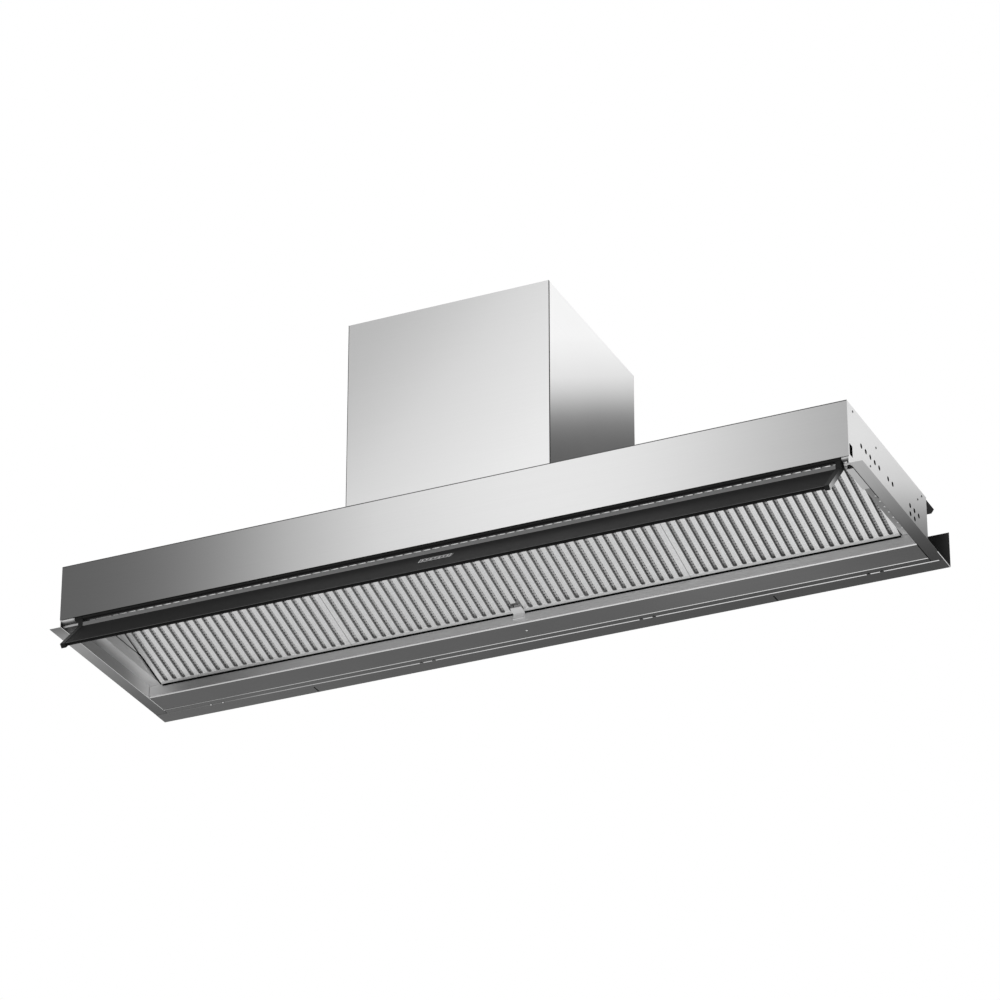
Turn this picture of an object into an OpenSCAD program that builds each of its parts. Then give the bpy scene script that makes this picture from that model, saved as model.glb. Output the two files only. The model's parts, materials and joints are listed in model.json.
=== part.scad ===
// Built-in range hood: a shallow steel canopy with a fan box on top.
// X runs to the right, Y runs to the rear, Z runs up.
// The origin is the centre of the hanging bolt pattern on the top of the fan box.

/* [Body] */
// Width of the body over its side plates
body_w = 1456; // [1200:4:1800]
// Depth of the body from the fascia to the rear plate
body_d = 378; // [368:1:430]
// Height of the body down to the underside of its trim
body_h = 115; // [113:1:140]
// Height of the plain fascia
fascia_h = 102.5; // [98:0.5:104]
// Thickness of the steel sheets
sheet = 1.2; // [1:0.1:1.5]

/* [Fan box] */
// Width of the fan box
box_w = 380; // [350:1:460]
// Depth of the fan box
box_d = 371; // [365:1:400]
// Height of the fan box above the body
box_h = 367; // [330:1:440]
// Distance from the fascia back to the fan box
box_setback = 22.5; // [18:0.5:40]

/* [Trim] */
// Width of the trim strip beside the body
trim_side_w = 22; // [16:1:40]
// Width of the lip that the rear plate turns outwards
rear_lip_w = 13; // [11:1:16]
// Width of the flat leg of the rear angle
angle_w = 33; // [28:1:60]
// Height of the upright leg of the rear angle
upstand_h = 65; // [30:1:90]
// Distance from the fascia back to the front end of the side trim
trim_front_gap = 4; // [2:0.5:10]

/* [Liners] */
// Height of the side ledges above the underside of the trim
ledge_rise = 22.5; // [20:0.5:24]
// Width of each side ledge
ledge_w = 24; // [20:0.5:34]
// Height of the upright wall at the inner edge of a ledge
ledge_wall_h = 21; // [14:0.5:22]
// Length by which a ledge reaches forward past the liner in front of the filters
ledge_lap = 32.3; // [28:0.1:35]
// Length of the cover plate on the front of a ledge
cover_len = 77; // [60:1:90]
// Depth of the closed box along the rear edge
rear_box_d = 56.5; // [50:0.5:60]

/* [Filters] */
// Slope of the filters, lowest at the rear
filter_tilt = 16.9; // [14:0.1:18]
// Distance from the fascia back to the liner in front of the filters
front_run = 93.3; // [90:0.1:110]
// Slots in each outer filter
outer_slots = 21; // [15:1:24]
// Slots in the middle filter
mid_slots = 36; // [24:2:40]
// Width of a slot
slot_w = 7; // [5:0.5:7.5]
// Depth of the slotted face
face_t = 5; // [4:0.5:6]
// Height of the filter frame above the face
frame_h = 7; // [6:0.5:9]

/* [Visor] */
// Length of the sloping visor face
visor_len = 81; // [60:0.1:86]
// Slope of the visor face when it is open
visor_tilt = 45.4; // [42:0.1:50]
// Thickness of the visor glass
glass_t = 4; // [3:0.5:5]
// Radius of the hinge barrel
barrel_r = 6.2; // [5:0.1:6.4]
// Space between the left side plate and the barrel
visor_gap_left = 26.3; // [15:0.1:40]
// Space between the right side plate and the barrel
visor_gap_right = 13.3; // [12:0.1:40]
// Width of the touch panel
touch_w = 62; // [40:1:160]

/* [Fan] */
// Radius of the fan wheel
wheel_r = 100; // [80:1:102]
// Width of the fan wheel
wheel_w = 140; // [100:2:150]
// Number of fan blades
blade_count = 36; // [24:1:42]
// Outside diameter of the round duct collar
collar_d = 149; // [120:1:150]
// Height of the duct collar above the fan box
collar_h = 45; // [35:1:60]

/* [Hidden] */

steel = "silver";
dark_steel = "dimgray";
zinc = "gainsboro";
black = [0.08, 0.08, 0.09];

// One overrun serves every cut
over = 2;
// Clear gap between neighbouring sheets that only touch in passing
seat_gap = 0.3;
// Radial clearance of every pin that turns in a hole
running_fit = 0.06;
$fn = 48;

// Places of the body
half_w = body_w / 2;
inner_x = half_w - sheet;
front_y = -(box_setback + box_d / 2);
rear_y = front_y + body_d;
body_top = -box_h;
trim_z = body_top - body_h;
fascia_z = body_top - fascia_h;
plate_z = body_top - sheet;

// Trim
trim_x = half_w + trim_side_w;
lip_rear_y = rear_y + rear_lip_w;
seam = 0.5;
angle_y = lip_rear_y + seam;
angle_rear_y = angle_y + angle_w;
slit_w = 2.5;
slit_front = 11;
slit_x_share = 0.602;
slit_x = slit_x_share * half_w;
clip_x_share = [-0.861, -0.288, 0.288, 0.861];
clip_w = 34;
clip_front = 9;
clip_rear = 10;
clip_foot_gap = 24;
clip_foot_r = 1.6;
clip_hole_r = 1.9;
rivet_h = 0.8;

// Side plate slot and holes
slot_y = 5.5;
slot_len = 13.5;
slot_top = 77.4;
slot_drop = 20.5;
hole_pitch_share = 1 / 18;
hole_y_share = 0.1648;
hole_pitch = body_d * hole_pitch_share;
hole_y = body_d * hole_y_share;
hole_row_steps = [0, 1, 2, 3, 4, 6, 7, 11, 12, 13];
hole_row_drop = 55.4;
hole_pair_steps = [11, 12];
hole_pair_drop = 70.7;
hole_r = 4.3;
screw_r = 2;
screw_h = 0.8;
// Side screws as shares of the depth from the fascia and of the height from the top
side_screw_share = [[0.073, 0.075], [0.355, 0.206], [0.273, 0.632], [0.8836, 0.214], [0.9397, 0.0757]];
plate_screw_rear = 28;

// Ledges and rear box
ledge_z = trim_z + ledge_rise;
ledge_in_x = inner_x - ledge_w;
liner_rear_y = front_y + front_run;
ledge_front_y = liner_rear_y - ledge_lap;
rear_wall_y = rear_y - rear_box_d;
bend_r = 3;
bend_steps = 4;
flange = 12;
cover_t = 1;
cover_in = 2;
corner_gap = 0.5;
ledge_rivets = 7;
ledge_rivet_share = 0.447;
ledge_rivet_y = body_d * ledge_rivet_share;
ledge_rivet_r = 1.5;
ledge_rivet_in = 9;

// Cheeks beside the filters
cheek_gap = 1.5;
cheek_bottom = ledge_z + ledge_wall_h + cheek_gap;
cheek_x = ledge_in_x - sheet;
end_gap = 1.2;

// Filters, in their own sloping frame: y down the slope, z away from the face
filter_half = cheek_x - end_gap;
joint_pitch = 1.6;
pitch_share = 1 / (2 * outer_slots + mid_slots - 3 + 3 * joint_pitch);
pitch = 2 * filter_half * pitch_share;
outer_w = (outer_slots - 1 + joint_pitch) * pitch;
mid_w = (mid_slots - 1 + joint_pitch) * pitch;
panel_gap = 0.8;
filter_rear_gap = 4;
filter_lift = 20.6;
filter_rear_y = rear_wall_y - filter_rear_gap;
slot_front_margin = 13;
slot_rear_margin = 6.5;
slot_corner_r = 2;
rim = 8;
mesh_t = 1;
mesh_gap = 0.3;
rod_r = 2.5;
rod_back = 5.5;
knuckle_r = 4.8;
knuckle_w = 14;
knuckle_inset = 60;
knuckle_web = 3;
liner_gap = 2.2;
rod_y = liner_rear_y + liner_gap + knuckle_r;
filter_front_y = rod_y + rod_back * cos(filter_tilt) - face_t * sin(filter_tilt);
filter_len = (filter_rear_y - filter_front_y) / cos(filter_tilt);
filter_front_z = trim_z + filter_lift + filter_len * sin(filter_tilt);
rod_z = filter_front_z + rod_back * sin(filter_tilt) + face_t * cos(filter_tilt);
hanger_r = 4.4;
hanger_w = 8;
hanger_t = 2;
hanger_x_share = [-0.72, -0.2, 0.2, 0.72];
hanger_foot = 14;

// Latch on the middle filter
latch_w = 21;
latch_t = 1.6;
latch_gap = 0.3;
latch_reach = 2.6;
latch_len = 17;
latch_lip_h = 13;
recess_w = 14;
recess_len = 17;
stem_w = 8;
stem_len = 4;
stem_head_w = 18;
stem_head_t = 1.5;

// Catches that hold the outer filters up
catch_w = 16;
catch_post = 7;
catch_arm = 24;
catch_t = 5;
catch_gap = 0.5;
catch_x_share = [-0.87, -0.60, -0.22, 0.22, 0.60, 0.87];

// Front liner and lamp
liner_drop = 34;
lamp_w = 1180;
lamp_half = min(lamp_w / 2, inner_x - 2 * ledge_w);
lamp_d = 22;
lamp_h = 14;
lamp_share = 0.42;
lamp_y = front_y + lamp_share * (liner_rear_y - front_y - lamp_d);
lamp_wall = 1;
lamp_proud = 0.6;

// Visor, in its own frame: y along the face to its lower edge
hinge_back = 8.4;
hinge_rise = 0.4;
hinge_y = front_y + hinge_back;
hinge_z = fascia_z + hinge_rise;
face_off = 10.1;
face_start = 15.2;
lip_h = 7.3;
lip_t = 2.5;
tray_t = 1;
tray_d = 3;
tray_tip = 4;
tray_inset = 8;
cap_w = 9;
cap_d = 8.6;
cap_proud = 0.6;
cap_hub_r = 6.7;
cap_heel = 7;
cap_tip = 1.5;
cap_inset_left = 6.5;
cap_inset_right = 1.5;
shaft_r = 3;
shaft_len = 22;
neck_r = 5.5;
foot_r = 6.8;
foot_t = 2;
shaft_gap = 0.4;
rest_r = 2;
rest_back = 4.6;
rest_drop = 8;
rest_clear = 3;
touch_start = 24.4;
touch_l = 16;
touch_t = 0.8;
touch_fit = 0.2;
board_side = 40;
board_t = 1.6;
board_l = 26;
barrel_x0 = -inner_x + visor_gap_left;
barrel_x1 = inner_x - visor_gap_right;
blade_x0 = barrel_x0 + cap_inset_left;
blade_x1 = barrel_x1 - cap_inset_right;
face_end = face_start + visor_len;

// Fan box and fan
box_half_w = box_w / 2;
box_half_d = box_d / 2;
opening_margin = 20;
opening_front = 18;
opening_rear = 24;
bolt_margin_x = 30;
bolt_margin_y = 35.5;
bolt_x = box_w - 2 * bolt_margin_x;
bolt_y = box_d - 2 * bolt_margin_y;
bolt_r = 4.5;
cut_gap = 8;
cutoff_a = 75;
scroll_growth = 67;
scroll_step = 7.5;
scroll_fit = 5;
scroll_wall_gap = 5;
scroll_floor_gap = 3;
inlet_r = 76;
scroll_half = wheel_w / 2 + scroll_fit;
cutoff_r = wheel_r + cut_gap;
cut_y = cutoff_r * cos(cutoff_a);
cut_z = cutoff_r * sin(cutoff_a);
end_r = cutoff_r + scroll_growth;
fan_y = -box_half_d + sheet + scroll_wall_gap + scroll_r(180) + sheet;
fan_z = -box_h + scroll_floor_gap + scroll_r(270) + sheet;
scroll_top = -sheet - fan_z;
collar_y = fan_y + (cut_y + end_r) / 2;
collar_out_r = collar_d / 2;
collar_in_r = collar_out_r - sheet;
collar_flange = 16;
hub_r = 16;
hub_w = 16;
disc_t = 2;
ring_t = 3;
blade_d = 16;
blade_t = 1.5;
axle_r = 6;
axle_len = 58;
axle_gap = 0.5;
motor_r = 47;
motor_gap = 8;
arm_w = 16;
arm_t = 3;
arm_ring_r = 34;
arm_reach = 12;
arm_count = 3;
arm_turn = 30;
damper_z = 12;
damper_t = 1.2;
damper_gap = 2;
damper_split = 4;
damper_pin_r = 1.5;
damper_hub_r = 2.6;
damper_hub_cut = 6;
damper_stop = 3;
damper_pin_z = damper_z + damper_hub_r - damper_t;
damper_pin_short = 0.6;
damper_pin_x = collar_out_r - damper_pin_short;

// Control and terminal boxes on top of the body
unit_w = 170;
unit_d = 120;
unit_h = 45;
unit_x = 250;
unit_rear = 30;
unit_wall = 2;
gland_r = 9;
gland_hole_r = 4;
gland_len = 18;

// Spacers behind the body
spacer_w = 24;
spacer_d = 39;
spacer_tip_d = 24;
spacer_h = 27;
spacer_top = 4.5;
spacer_heel = 15;

// Radius of the scroll at angle a, counted from the rear side upwards and over
function scroll_r(a) = cutoff_r + scroll_growth * (a - cutoff_a) / (360 - cutoff_a);

// Outline of the scroll, t outside its inner wall, open at height top
function scroll_outline(t, top) = concat(
  [[cut_y - t, top], [cut_y - t, cut_z + 2 * t]],
  [for (a = [cutoff_a + scroll_step : scroll_step : 360])
    (scroll_r(a) + t) * [cos(a), sin(a)]],
  [[end_r + t, top]]);

// Directions of the upright frame, written in the sloping frame of the open visor
visor_a = visor_tilt - 180;
function up_dir() = [sin(visor_a), cos(visor_a)];
function back_dir() = [cos(visor_a), -sin(visor_a)];

// Extrudes a Y and Z outline along X from x0 to x1
module along_x(x0, x1) {
  translate([x0, 0, 0])
    rotate([90, 0, 90])
      linear_extrude(x1 - x0)
        children();
}

// Box between two corners
module block(low, high) {
  translate(low)
    cube(high - low);
}

// Round bar along X
module bar_x(x0, x1, r) {
  translate([x0, 0, 0])
    rotate([0, 90, 0])
      cylinder(h = x1 - x0, r = r);
}

module in_filter() {
  translate([0, filter_front_y, filter_front_z])
    rotate([-filter_tilt, 0, 0])
      children();
}

module in_visor() {
  translate([0, hinge_y, hinge_z])
    rotate([visor_a, 0, 0])
      children();
}

// Quarter bend outline, used where a sheet turns a visible corner
function bend(cy, cz, r, a0) = [for (k = [0 : bend_steps])
  [cy, cz] + r * [cos(a0 + k * 90 / bend_steps), sin(a0 + k * 90 / bend_steps)]];

module front_fascia() {
  color(steel)
    block([-half_w, front_y, fascia_z], [half_w, front_y + sheet, body_top]);
}

// Side plate on the right, with its slot and holes
module side_plate() {
  difference() {
    block([inner_x, front_y + sheet, trim_z], [half_w, rear_y, body_top]);
    block([inner_x - over, front_y + slot_y, body_top - slot_top - slot_drop],
      [half_w + over, front_y + slot_y + slot_len, body_top - slot_top]);
    for (k = hole_row_steps)
      translate([0, front_y + hole_y + k * hole_pitch, body_top - hole_row_drop])
        bar_x(inner_x - over, half_w + over, hole_r);
    for (k = hole_pair_steps)
      translate([0, front_y + hole_y + k * hole_pitch, body_top - hole_pair_drop])
        bar_x(inner_x - over, half_w + over, hole_r);
  }
}

module right_side_plate() {
  color(steel)
    side_plate();
}

module left_side_plate() {
  color(steel)
    mirror([1, 0, 0])
      side_plate();
}

// Upright rear sheet whose bottom edge turns outwards
module rear_plate() {
  color(steel)
    difference() {
      along_x(-inner_x, inner_x)
        polygon(concat(
          bend(rear_y - sheet + bend_r, trim_z + bend_r, bend_r, 180),
          [[lip_rear_y, trim_z], [lip_rear_y, trim_z + sheet], [rear_y - sheet + bend_r, trim_z + sheet],
            [rear_y, trim_z + bend_r], [rear_y, body_top], [rear_y - sheet, body_top]]));
      clip_rounds(clip_hole_r, trim_z - over, trim_z + sheet + over);
    }
}

module top_plate() {
  color(steel)
    difference() {
      block([-inner_x, front_y + sheet, plate_z], [inner_x, rear_y - sheet, body_top]);
      block([-box_half_w + opening_margin, front_y + box_setback + opening_front, plate_z - over],
        [box_half_w - opening_margin, rear_y - opening_rear, body_top + over]);
    }
}

// Flat trim strip along the bottom edge of the right side plate
module side_trim() {
  block([half_w, front_y + trim_front_gap, trim_z], [trim_x, lip_rear_y, trim_z + sheet]);
}

module right_trim() {
  color(dark_steel)
    side_trim();
}

module left_trim() {
  color(dark_steel)
    mirror([1, 0, 0])
      side_trim();
}

module rear_angle() {
  color(dark_steel)
    difference() {
      union() {
        block([-trim_x, angle_y, trim_z], [trim_x, angle_rear_y, trim_z + sheet]);
        block([-trim_x, angle_rear_y - sheet, trim_z], [trim_x, angle_rear_y, trim_z + upstand_h]);
      }
      for (s = [-1, 1])
        block([s * slit_x - slit_w / 2, angle_y + slit_front, trim_z - over],
          [s * slit_x + slit_w / 2, angle_rear_y - sheet, trim_z + sheet + over]);
      clip_rounds(clip_hole_r, trim_z - over, trim_z + sheet + over);
    }
}

// Upright rounds on the seam, two for each clip
module clip_rounds(r, z0, z1) {
  for (share = clip_x_share)
    for (s = [-1, 1])
      translate([share * half_w + s * clip_foot_gap / 2, angle_y - seam / 2, z0])
        cylinder(h = z1 - z0, r = r);
}

// Spring plates above the seam, with two feet each that come down through it
module angle_clips() {
  color(zinc) {
    for (share = clip_x_share)
      block([share * half_w - clip_w / 2, angle_y - clip_front, trim_z + sheet],
        [share * half_w + clip_w / 2, angle_y + clip_rear, trim_z + 2 * sheet]);
    clip_rounds(clip_foot_r, trim_z - rivet_h, trim_z + sheet + sheet / 2);
  }
}

// Ledge along the right side: an outer flange, the ledge and its inner wall
module side_liner() {
  rotate([90, 0, 0])
    translate([0, 0, -(rear_wall_y - corner_gap)])
      linear_extrude(rear_wall_y - corner_gap - ledge_front_y)
        polygon([[inner_x, ledge_z], [inner_x, ledge_z + flange], [inner_x - sheet, ledge_z + flange],
          [inner_x - sheet, ledge_z + sheet], [ledge_in_x + sheet, ledge_z + sheet],
          [ledge_in_x + sheet, ledge_z + ledge_wall_h], [ledge_in_x, ledge_z + ledge_wall_h],
          [ledge_in_x, ledge_z]]);
}

module right_liner() {
  color(steel)
    side_liner();
}

module left_liner() {
  color(steel)
    mirror([1, 0, 0])
      side_liner();
}

// Cover plate under the front of a ledge
module liner_cover() {
  block([ledge_in_x - cover_in, ledge_front_y, ledge_z - cover_t],
    [inner_x - corner_gap, ledge_front_y + cover_len, ledge_z]);
}

module right_liner_cover() {
  color(zinc)
    liner_cover();
}

module left_liner_cover() {
  color(zinc)
    mirror([1, 0, 0])
      liner_cover();
}

// Closed box along the rear: bottom plate, front wall and top flange
module rear_liner() {
  color(dark_steel)
    along_x(-inner_x + corner_gap, inner_x - corner_gap)
      polygon(concat(
        bend(rear_wall_y + bend_r, trim_z + bend_r, bend_r, 180),
        [[rear_y - sheet - seam, trim_z], [rear_y - sheet - seam, trim_z + sheet],
          [rear_wall_y + bend_r, trim_z + sheet], [rear_wall_y + sheet, trim_z + bend_r],
          [rear_wall_y + sheet, ledge_z - sheet], [rear_y - sheet, ledge_z - sheet],
          [rear_y - sheet, ledge_z + flange], [rear_y - 2 * sheet, ledge_z + flange],
          [rear_y - 2 * sheet, ledge_z], [rear_wall_y, ledge_z]]));
}

// Panel behind the fascia, above the closed visor, with a slot for the lamp
module front_liner() {
  color(steel)
    difference() {
      along_x(-cheek_x + corner_gap, cheek_x - corner_gap)
        polygon([[front_y + sheet, body_top - liner_drop], [liner_rear_y, body_top - liner_drop],
          [liner_rear_y, plate_z], [liner_rear_y - sheet, plate_z],
          [liner_rear_y - sheet, body_top - liner_drop + sheet],
          [front_y + 2 * sheet, body_top - liner_drop + sheet],
          [front_y + 2 * sheet, body_top - liner_drop + flange],
          [front_y + sheet, body_top - liner_drop + flange]]);
      block([-lamp_half, lamp_y, body_top - liner_drop - over],
        [lamp_half, lamp_y + lamp_d, body_top - liner_drop + sheet + over]);
    }
}

module lamp_housing() {
  color(zinc)
    difference() {
      block([-lamp_half - lamp_wall, lamp_y - lamp_wall, body_top - liner_drop + sheet],
        [lamp_half + lamp_wall, lamp_y + lamp_d + lamp_wall,
          body_top - liner_drop + sheet + lamp_h]);
      block([-lamp_half, lamp_y, body_top - liner_drop + sheet - over],
        [lamp_half, lamp_y + lamp_d, body_top - liner_drop + sheet + lamp_h - lamp_wall]);
    }
}

module lamp_diffuser() {
  color("white")
    block([-lamp_half + seat_gap, lamp_y + seat_gap, body_top - liner_drop - lamp_proud],
      [lamp_half - seat_gap, lamp_y + lamp_d - seat_gap,
        body_top - liner_drop + sheet + lamp_h / 2]);
}

// Upright plate beside the right filter, with the hole that carries the hinge rod
module cheek() {
  difference() {
    block([cheek_x, ledge_front_y, cheek_bottom], [cheek_x + sheet, rear_wall_y, plate_z]);
    translate([0, rod_y, rod_z])
      bar_x(cheek_x - over, cheek_x + sheet + over, rod_r + running_fit);
  }
}

module right_cheek() {
  color(steel)
    cheek();
}

module left_cheek() {
  color(steel)
    mirror([1, 0, 0])
      cheek();
}

// Row of rivet heads under the right ledge
module liner_rivets() {
  color(zinc)
    for (k = [0 : ledge_rivets - 1])
      translate([inner_x - ledge_w + ledge_rivet_in, front_y + ledge_rivet_y + k * hole_pitch,
        ledge_z - rivet_h])
        cylinder(h = rivet_h, r = ledge_rivet_r);
}

// Screw heads on both side plates and one under the rear box
module body_screws() {
  color(zinc) {
    for (s = [0, 1])
      mirror([s, 0, 0])
        for (p = side_screw_share)
          translate([0, front_y + p[0] * body_d, body_top - p[1] * body_h])
            bar_x(half_w, half_w + screw_h, screw_r);
    translate([0, rear_y - plate_screw_rear, trim_z - screw_h])
      cylinder(h = screw_h, r = screw_r);
  }
}

// Moulded wedges that keep the body off the wall
module rear_spacers() {
  color(black)
    for (s = [0, 1])
      mirror([s, 0, 0])
        along_x(half_w - spacer_w, half_w)
          polygon([[rear_y, body_top - spacer_top], [rear_y + spacer_d, body_top - spacer_top],
            [rear_y + spacer_tip_d, body_top - spacer_top - spacer_heel],
            [rear_y, body_top - spacer_top - spacer_h]]);
}

module filter_hinge_rod() {
  color(zinc)
    translate([0, rod_y, rod_z])
      bar_x(-cheek_x - sheet, cheek_x + sheet, rod_r);
}

// Straps from the top plate that carry the hinge rod between the filters
module rod_hangers() {
  color(zinc)
    for (share = hanger_x_share)
      translate([share * filter_half, rod_y, rod_z])
        difference() {
          union() {
            bar_x(-hanger_w / 2, hanger_w / 2, hanger_r);
            block([-hanger_w / 2, -hanger_t / 2, 0], [hanger_w / 2, hanger_t / 2, plate_z - rod_z]);
            block([-hanger_w / 2, -hanger_t / 2, plate_z - rod_z - hanger_t],
              [hanger_w / 2, hanger_foot, plate_z - rod_z]);
          }
          bar_x(-hanger_w, hanger_w, rod_r + running_fit);
        }
}

// Sprung keepers behind the filters, two for each filter
module filter_catches() {
  color(black)
    for (share = catch_x_share)
      along_x(share * filter_half - catch_w / 2, share * filter_half + catch_w / 2)
        catch_profile();
}

module catch_profile() {
  frame_top = (face_t + frame_h) / cos(filter_tilt);
  arm_front = rear_wall_y + sheet + catch_post - catch_arm;
  arm_z = filter_front_z - (arm_front - filter_front_y) * tan(filter_tilt) + frame_top + catch_gap;
  polygon([[rear_wall_y + sheet, ledge_z], [rear_wall_y + sheet + catch_post, ledge_z],
    [rear_wall_y + sheet + catch_post, arm_z + catch_t], [arm_front, arm_z + catch_t],
    [arm_front, arm_z], [rear_wall_y + sheet, arm_z]]);
}

// Rounded slot, centred on x, from y0 to y1
module slot_outline(y0, y1) {
  r = slot_corner_r;
  translate([-slot_w / 2 + r, y0])
    square([slot_w - 2 * r, y1 - y0]);
  translate([-slot_w / 2, y0 + r])
    square([slot_w, y1 - y0 - 2 * r]);
  for (s = [-1, 1])
    for (y = [y0 + r, y1 - r])
      translate([s * (slot_w / 2 - r), y])
        circle(r = r, $fn = 24);
}

// Slotted face of a filter that is w wide and centred on x
module filter_face(w, slots) {
  in_filter()
    linear_extrude(face_t)
      difference() {
        translate([-w / 2 + panel_gap / 2, 0])
          square([w - panel_gap, filter_len]);
        for (k = [0 : slots - 1])
          translate([(k - (slots - 1) / 2) * pitch, 0])
            slot_outline(slot_front_margin, filter_len - slot_rear_margin);
        children();
      }
}

// Perforated sheet that lies on the face, inside the frame
module filter_mesh(w) {
  in_filter()
    translate([-w / 2 + panel_gap / 2 + rim + mesh_gap, rim + mesh_gap, face_t])
      difference() {
        cube([w - panel_gap - 2 * rim - 2 * mesh_gap, filter_len - 2 * rim - 2 * mesh_gap, mesh_t]);
        children();
      }
}

// Frame around the mesh, with two knuckles that turn on the hinge rod
module filter_frame(w) {
  in_filter()
    difference() {
      union() {
        translate([-w / 2 + panel_gap / 2, 0, face_t])
          cube([w - panel_gap, filter_len, frame_h]);
        for (s = [-1, 1])
          translate([s * (w / 2 - knuckle_inset), 0, 0]) {
            translate([0, -rod_back, face_t])
              bar_x(-knuckle_w / 2, knuckle_w / 2, knuckle_r);
            block([-knuckle_w / 2, -rod_back, face_t], [knuckle_w / 2, knuckle_web, face_t + knuckle_r]);
          }
      }
      translate([-w / 2 + panel_gap / 2 + rim, rim, face_t - over])
        cube([w - panel_gap - 2 * rim, filter_len - 2 * rim, frame_h + 2 * over]);
      for (s = [-1, 1])
        translate([s * (w / 2 - knuckle_inset), -rod_back, face_t])
          bar_x(-knuckle_w, knuckle_w, rod_r + running_fit);
    }
}

outer_x = mid_w / 2 + outer_w / 2;

module left_filter_face() {
  color(zinc)
    translate([-outer_x, 0, 0])
      filter_face(outer_w, outer_slots);
}

module left_filter_mesh() {
  color(dark_steel)
    translate([-outer_x, 0, 0])
      filter_mesh(outer_w);
}

module left_filter_frame() {
  color(zinc)
    translate([-outer_x, 0, 0])
      filter_frame(outer_w);
}

module right_filter_face() {
  color(zinc)
    translate([outer_x, 0, 0])
      filter_face(outer_w, outer_slots);
}

module right_filter_mesh() {
  color(dark_steel)
    translate([outer_x, 0, 0])
      filter_mesh(outer_w);
}

module right_filter_frame() {
  color(zinc)
    translate([outer_x, 0, 0])
      filter_frame(outer_w);
}

latch_y0 = filter_len - latch_len + latch_reach;
stem_y0 = latch_y0 + stem_len / 2;
recess_y1 = stem_y0 + stem_len + seat_gap;

module mid_filter_face() {
  color(zinc)
    filter_face(mid_w, mid_slots)
      translate([-recess_w / 2, recess_y1 - recess_len])
        square([recess_w, recess_len]);
}

// The mesh has a clear window for the latch head
module mid_filter_mesh() {
  color(dark_steel)
    filter_mesh(mid_w)
      translate([mid_w / 2 - panel_gap / 2 - rim - mesh_gap - stem_head_w / 2 - over,
        recess_y1 - recess_len - rim - over, -over])
        cube([stem_head_w + 2 * over, recess_len + 3 * over, mesh_t + 2 * over]);
}

module mid_filter_frame() {
  color(zinc)
    filter_frame(mid_w);
}

// Finger tab below the face, with a stem through the recess and a head above it
module filter_latch() {
  color("white")
    in_filter() {
      block([-latch_w / 2, latch_y0, -latch_gap - latch_t],
        [latch_w / 2, filter_len + latch_reach, -latch_gap]);
      block([-latch_w / 2, filter_len + latch_reach - latch_t, -latch_gap - latch_lip_h],
        [latch_w / 2, filter_len + latch_reach, -latch_gap]);
      block([-stem_w / 2, stem_y0, -latch_gap - latch_t / 2],
        [stem_w / 2, stem_y0 + stem_len, face_t + seat_gap + stem_head_t]);
      block([-stem_head_w / 2, stem_y0, face_t + seat_gap],
        [stem_head_w / 2, stem_y0 + stem_len, face_t + seat_gap + stem_head_t]);
    }
}

// Fixed shaft at one end of the visor, w long from the wall: foot, thick neck and pin
module visor_shaft(w) {
  bar_x(0, foot_t, foot_r);
  bar_x(0, w - shaft_gap, neck_r);
  bar_x(0, w + shaft_len, shaft_r);
}

module visor_shaft_left() {
  color(zinc)
    translate([-inner_x, hinge_y, hinge_z])
      visor_shaft(visor_gap_left);
}

module visor_shaft_right() {
  color(zinc)
    translate([inner_x, hinge_y, hinge_z])
      mirror([1, 0, 0])
        visor_shaft(visor_gap_right);
}

// Thin fixed pins below the shafts, on which the unhooked visor can rest
module visor_rest_pins() {
  color(zinc)
    translate([0, hinge_y + rest_back, hinge_z - rest_drop]) {
      bar_x(-inner_x, blade_x0 - rest_clear, rest_r);
      bar_x(blade_x1 + rest_clear, inner_x, rest_r);
    }
}

module visor_barrel() {
  color(black)
    translate([0, hinge_y, hinge_z])
      difference() {
        bar_x(barrel_x0, barrel_x1, barrel_r);
        bar_x(barrel_x0 - over, barrel_x0 + shaft_len + over, shaft_r + running_fit);
        bar_x(barrel_x1 - shaft_len - over, barrel_x1 + over, shaft_r + running_fit);
      }
}

// Outline of an end cap: a hub round the barrel and an arm along the glass
module cap_outline() {
  difference() {
    union() {
      polygon([[-cap_heel, face_off - cap_proud], [face_end + cap_tip, face_off - cap_proud],
        [face_end + cap_tip, face_off - cap_proud + cap_d], [-cap_heel / 2, face_off - cap_proud + cap_d]]);
      polygon([[-cap_hub_r, 0], [cap_hub_r, 0], [face_start, face_off], [-cap_heel, face_off]]);
      circle(r = cap_hub_r);
    }
    circle(r = barrel_r);
  }
}

module visor_end_caps() {
  color(black)
    in_visor() {
      along_x(blade_x0, blade_x0 + cap_w)
        cap_outline();
      along_x(blade_x1 - cap_w, blade_x1)
        cap_outline();
    }
}

touch_y = face_start + touch_start;

module visor_glass() {
  color(black)
    in_visor()
      difference() {
        block([blade_x0 + cap_w, face_start, face_off], [blade_x1 - cap_w, face_end, face_off + glass_t]);
        block([-touch_w / 2 - touch_fit, touch_y - touch_fit, face_off - over],
          [touch_w / 2 + touch_fit, touch_y + touch_l + touch_fit, face_off + touch_t]);
      }
}

// The tray and the board lie on the back of the glass
tray_z = face_off + glass_t;

// Shallow steel tray behind the glass
module visor_tray() {
  color(black)
    in_visor()
      difference() {
        block([blade_x0 + cap_w, face_start, tray_z],
          [blade_x1 - cap_w, face_end - tray_tip, tray_z + tray_d]);
        block([blade_x0 + cap_w + tray_inset, face_start + tray_t, tray_z - over],
          [blade_x1 - cap_w - tray_inset, face_end - tray_tip - tray_t, tray_z + tray_d - tray_t]);
      }
}

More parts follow.
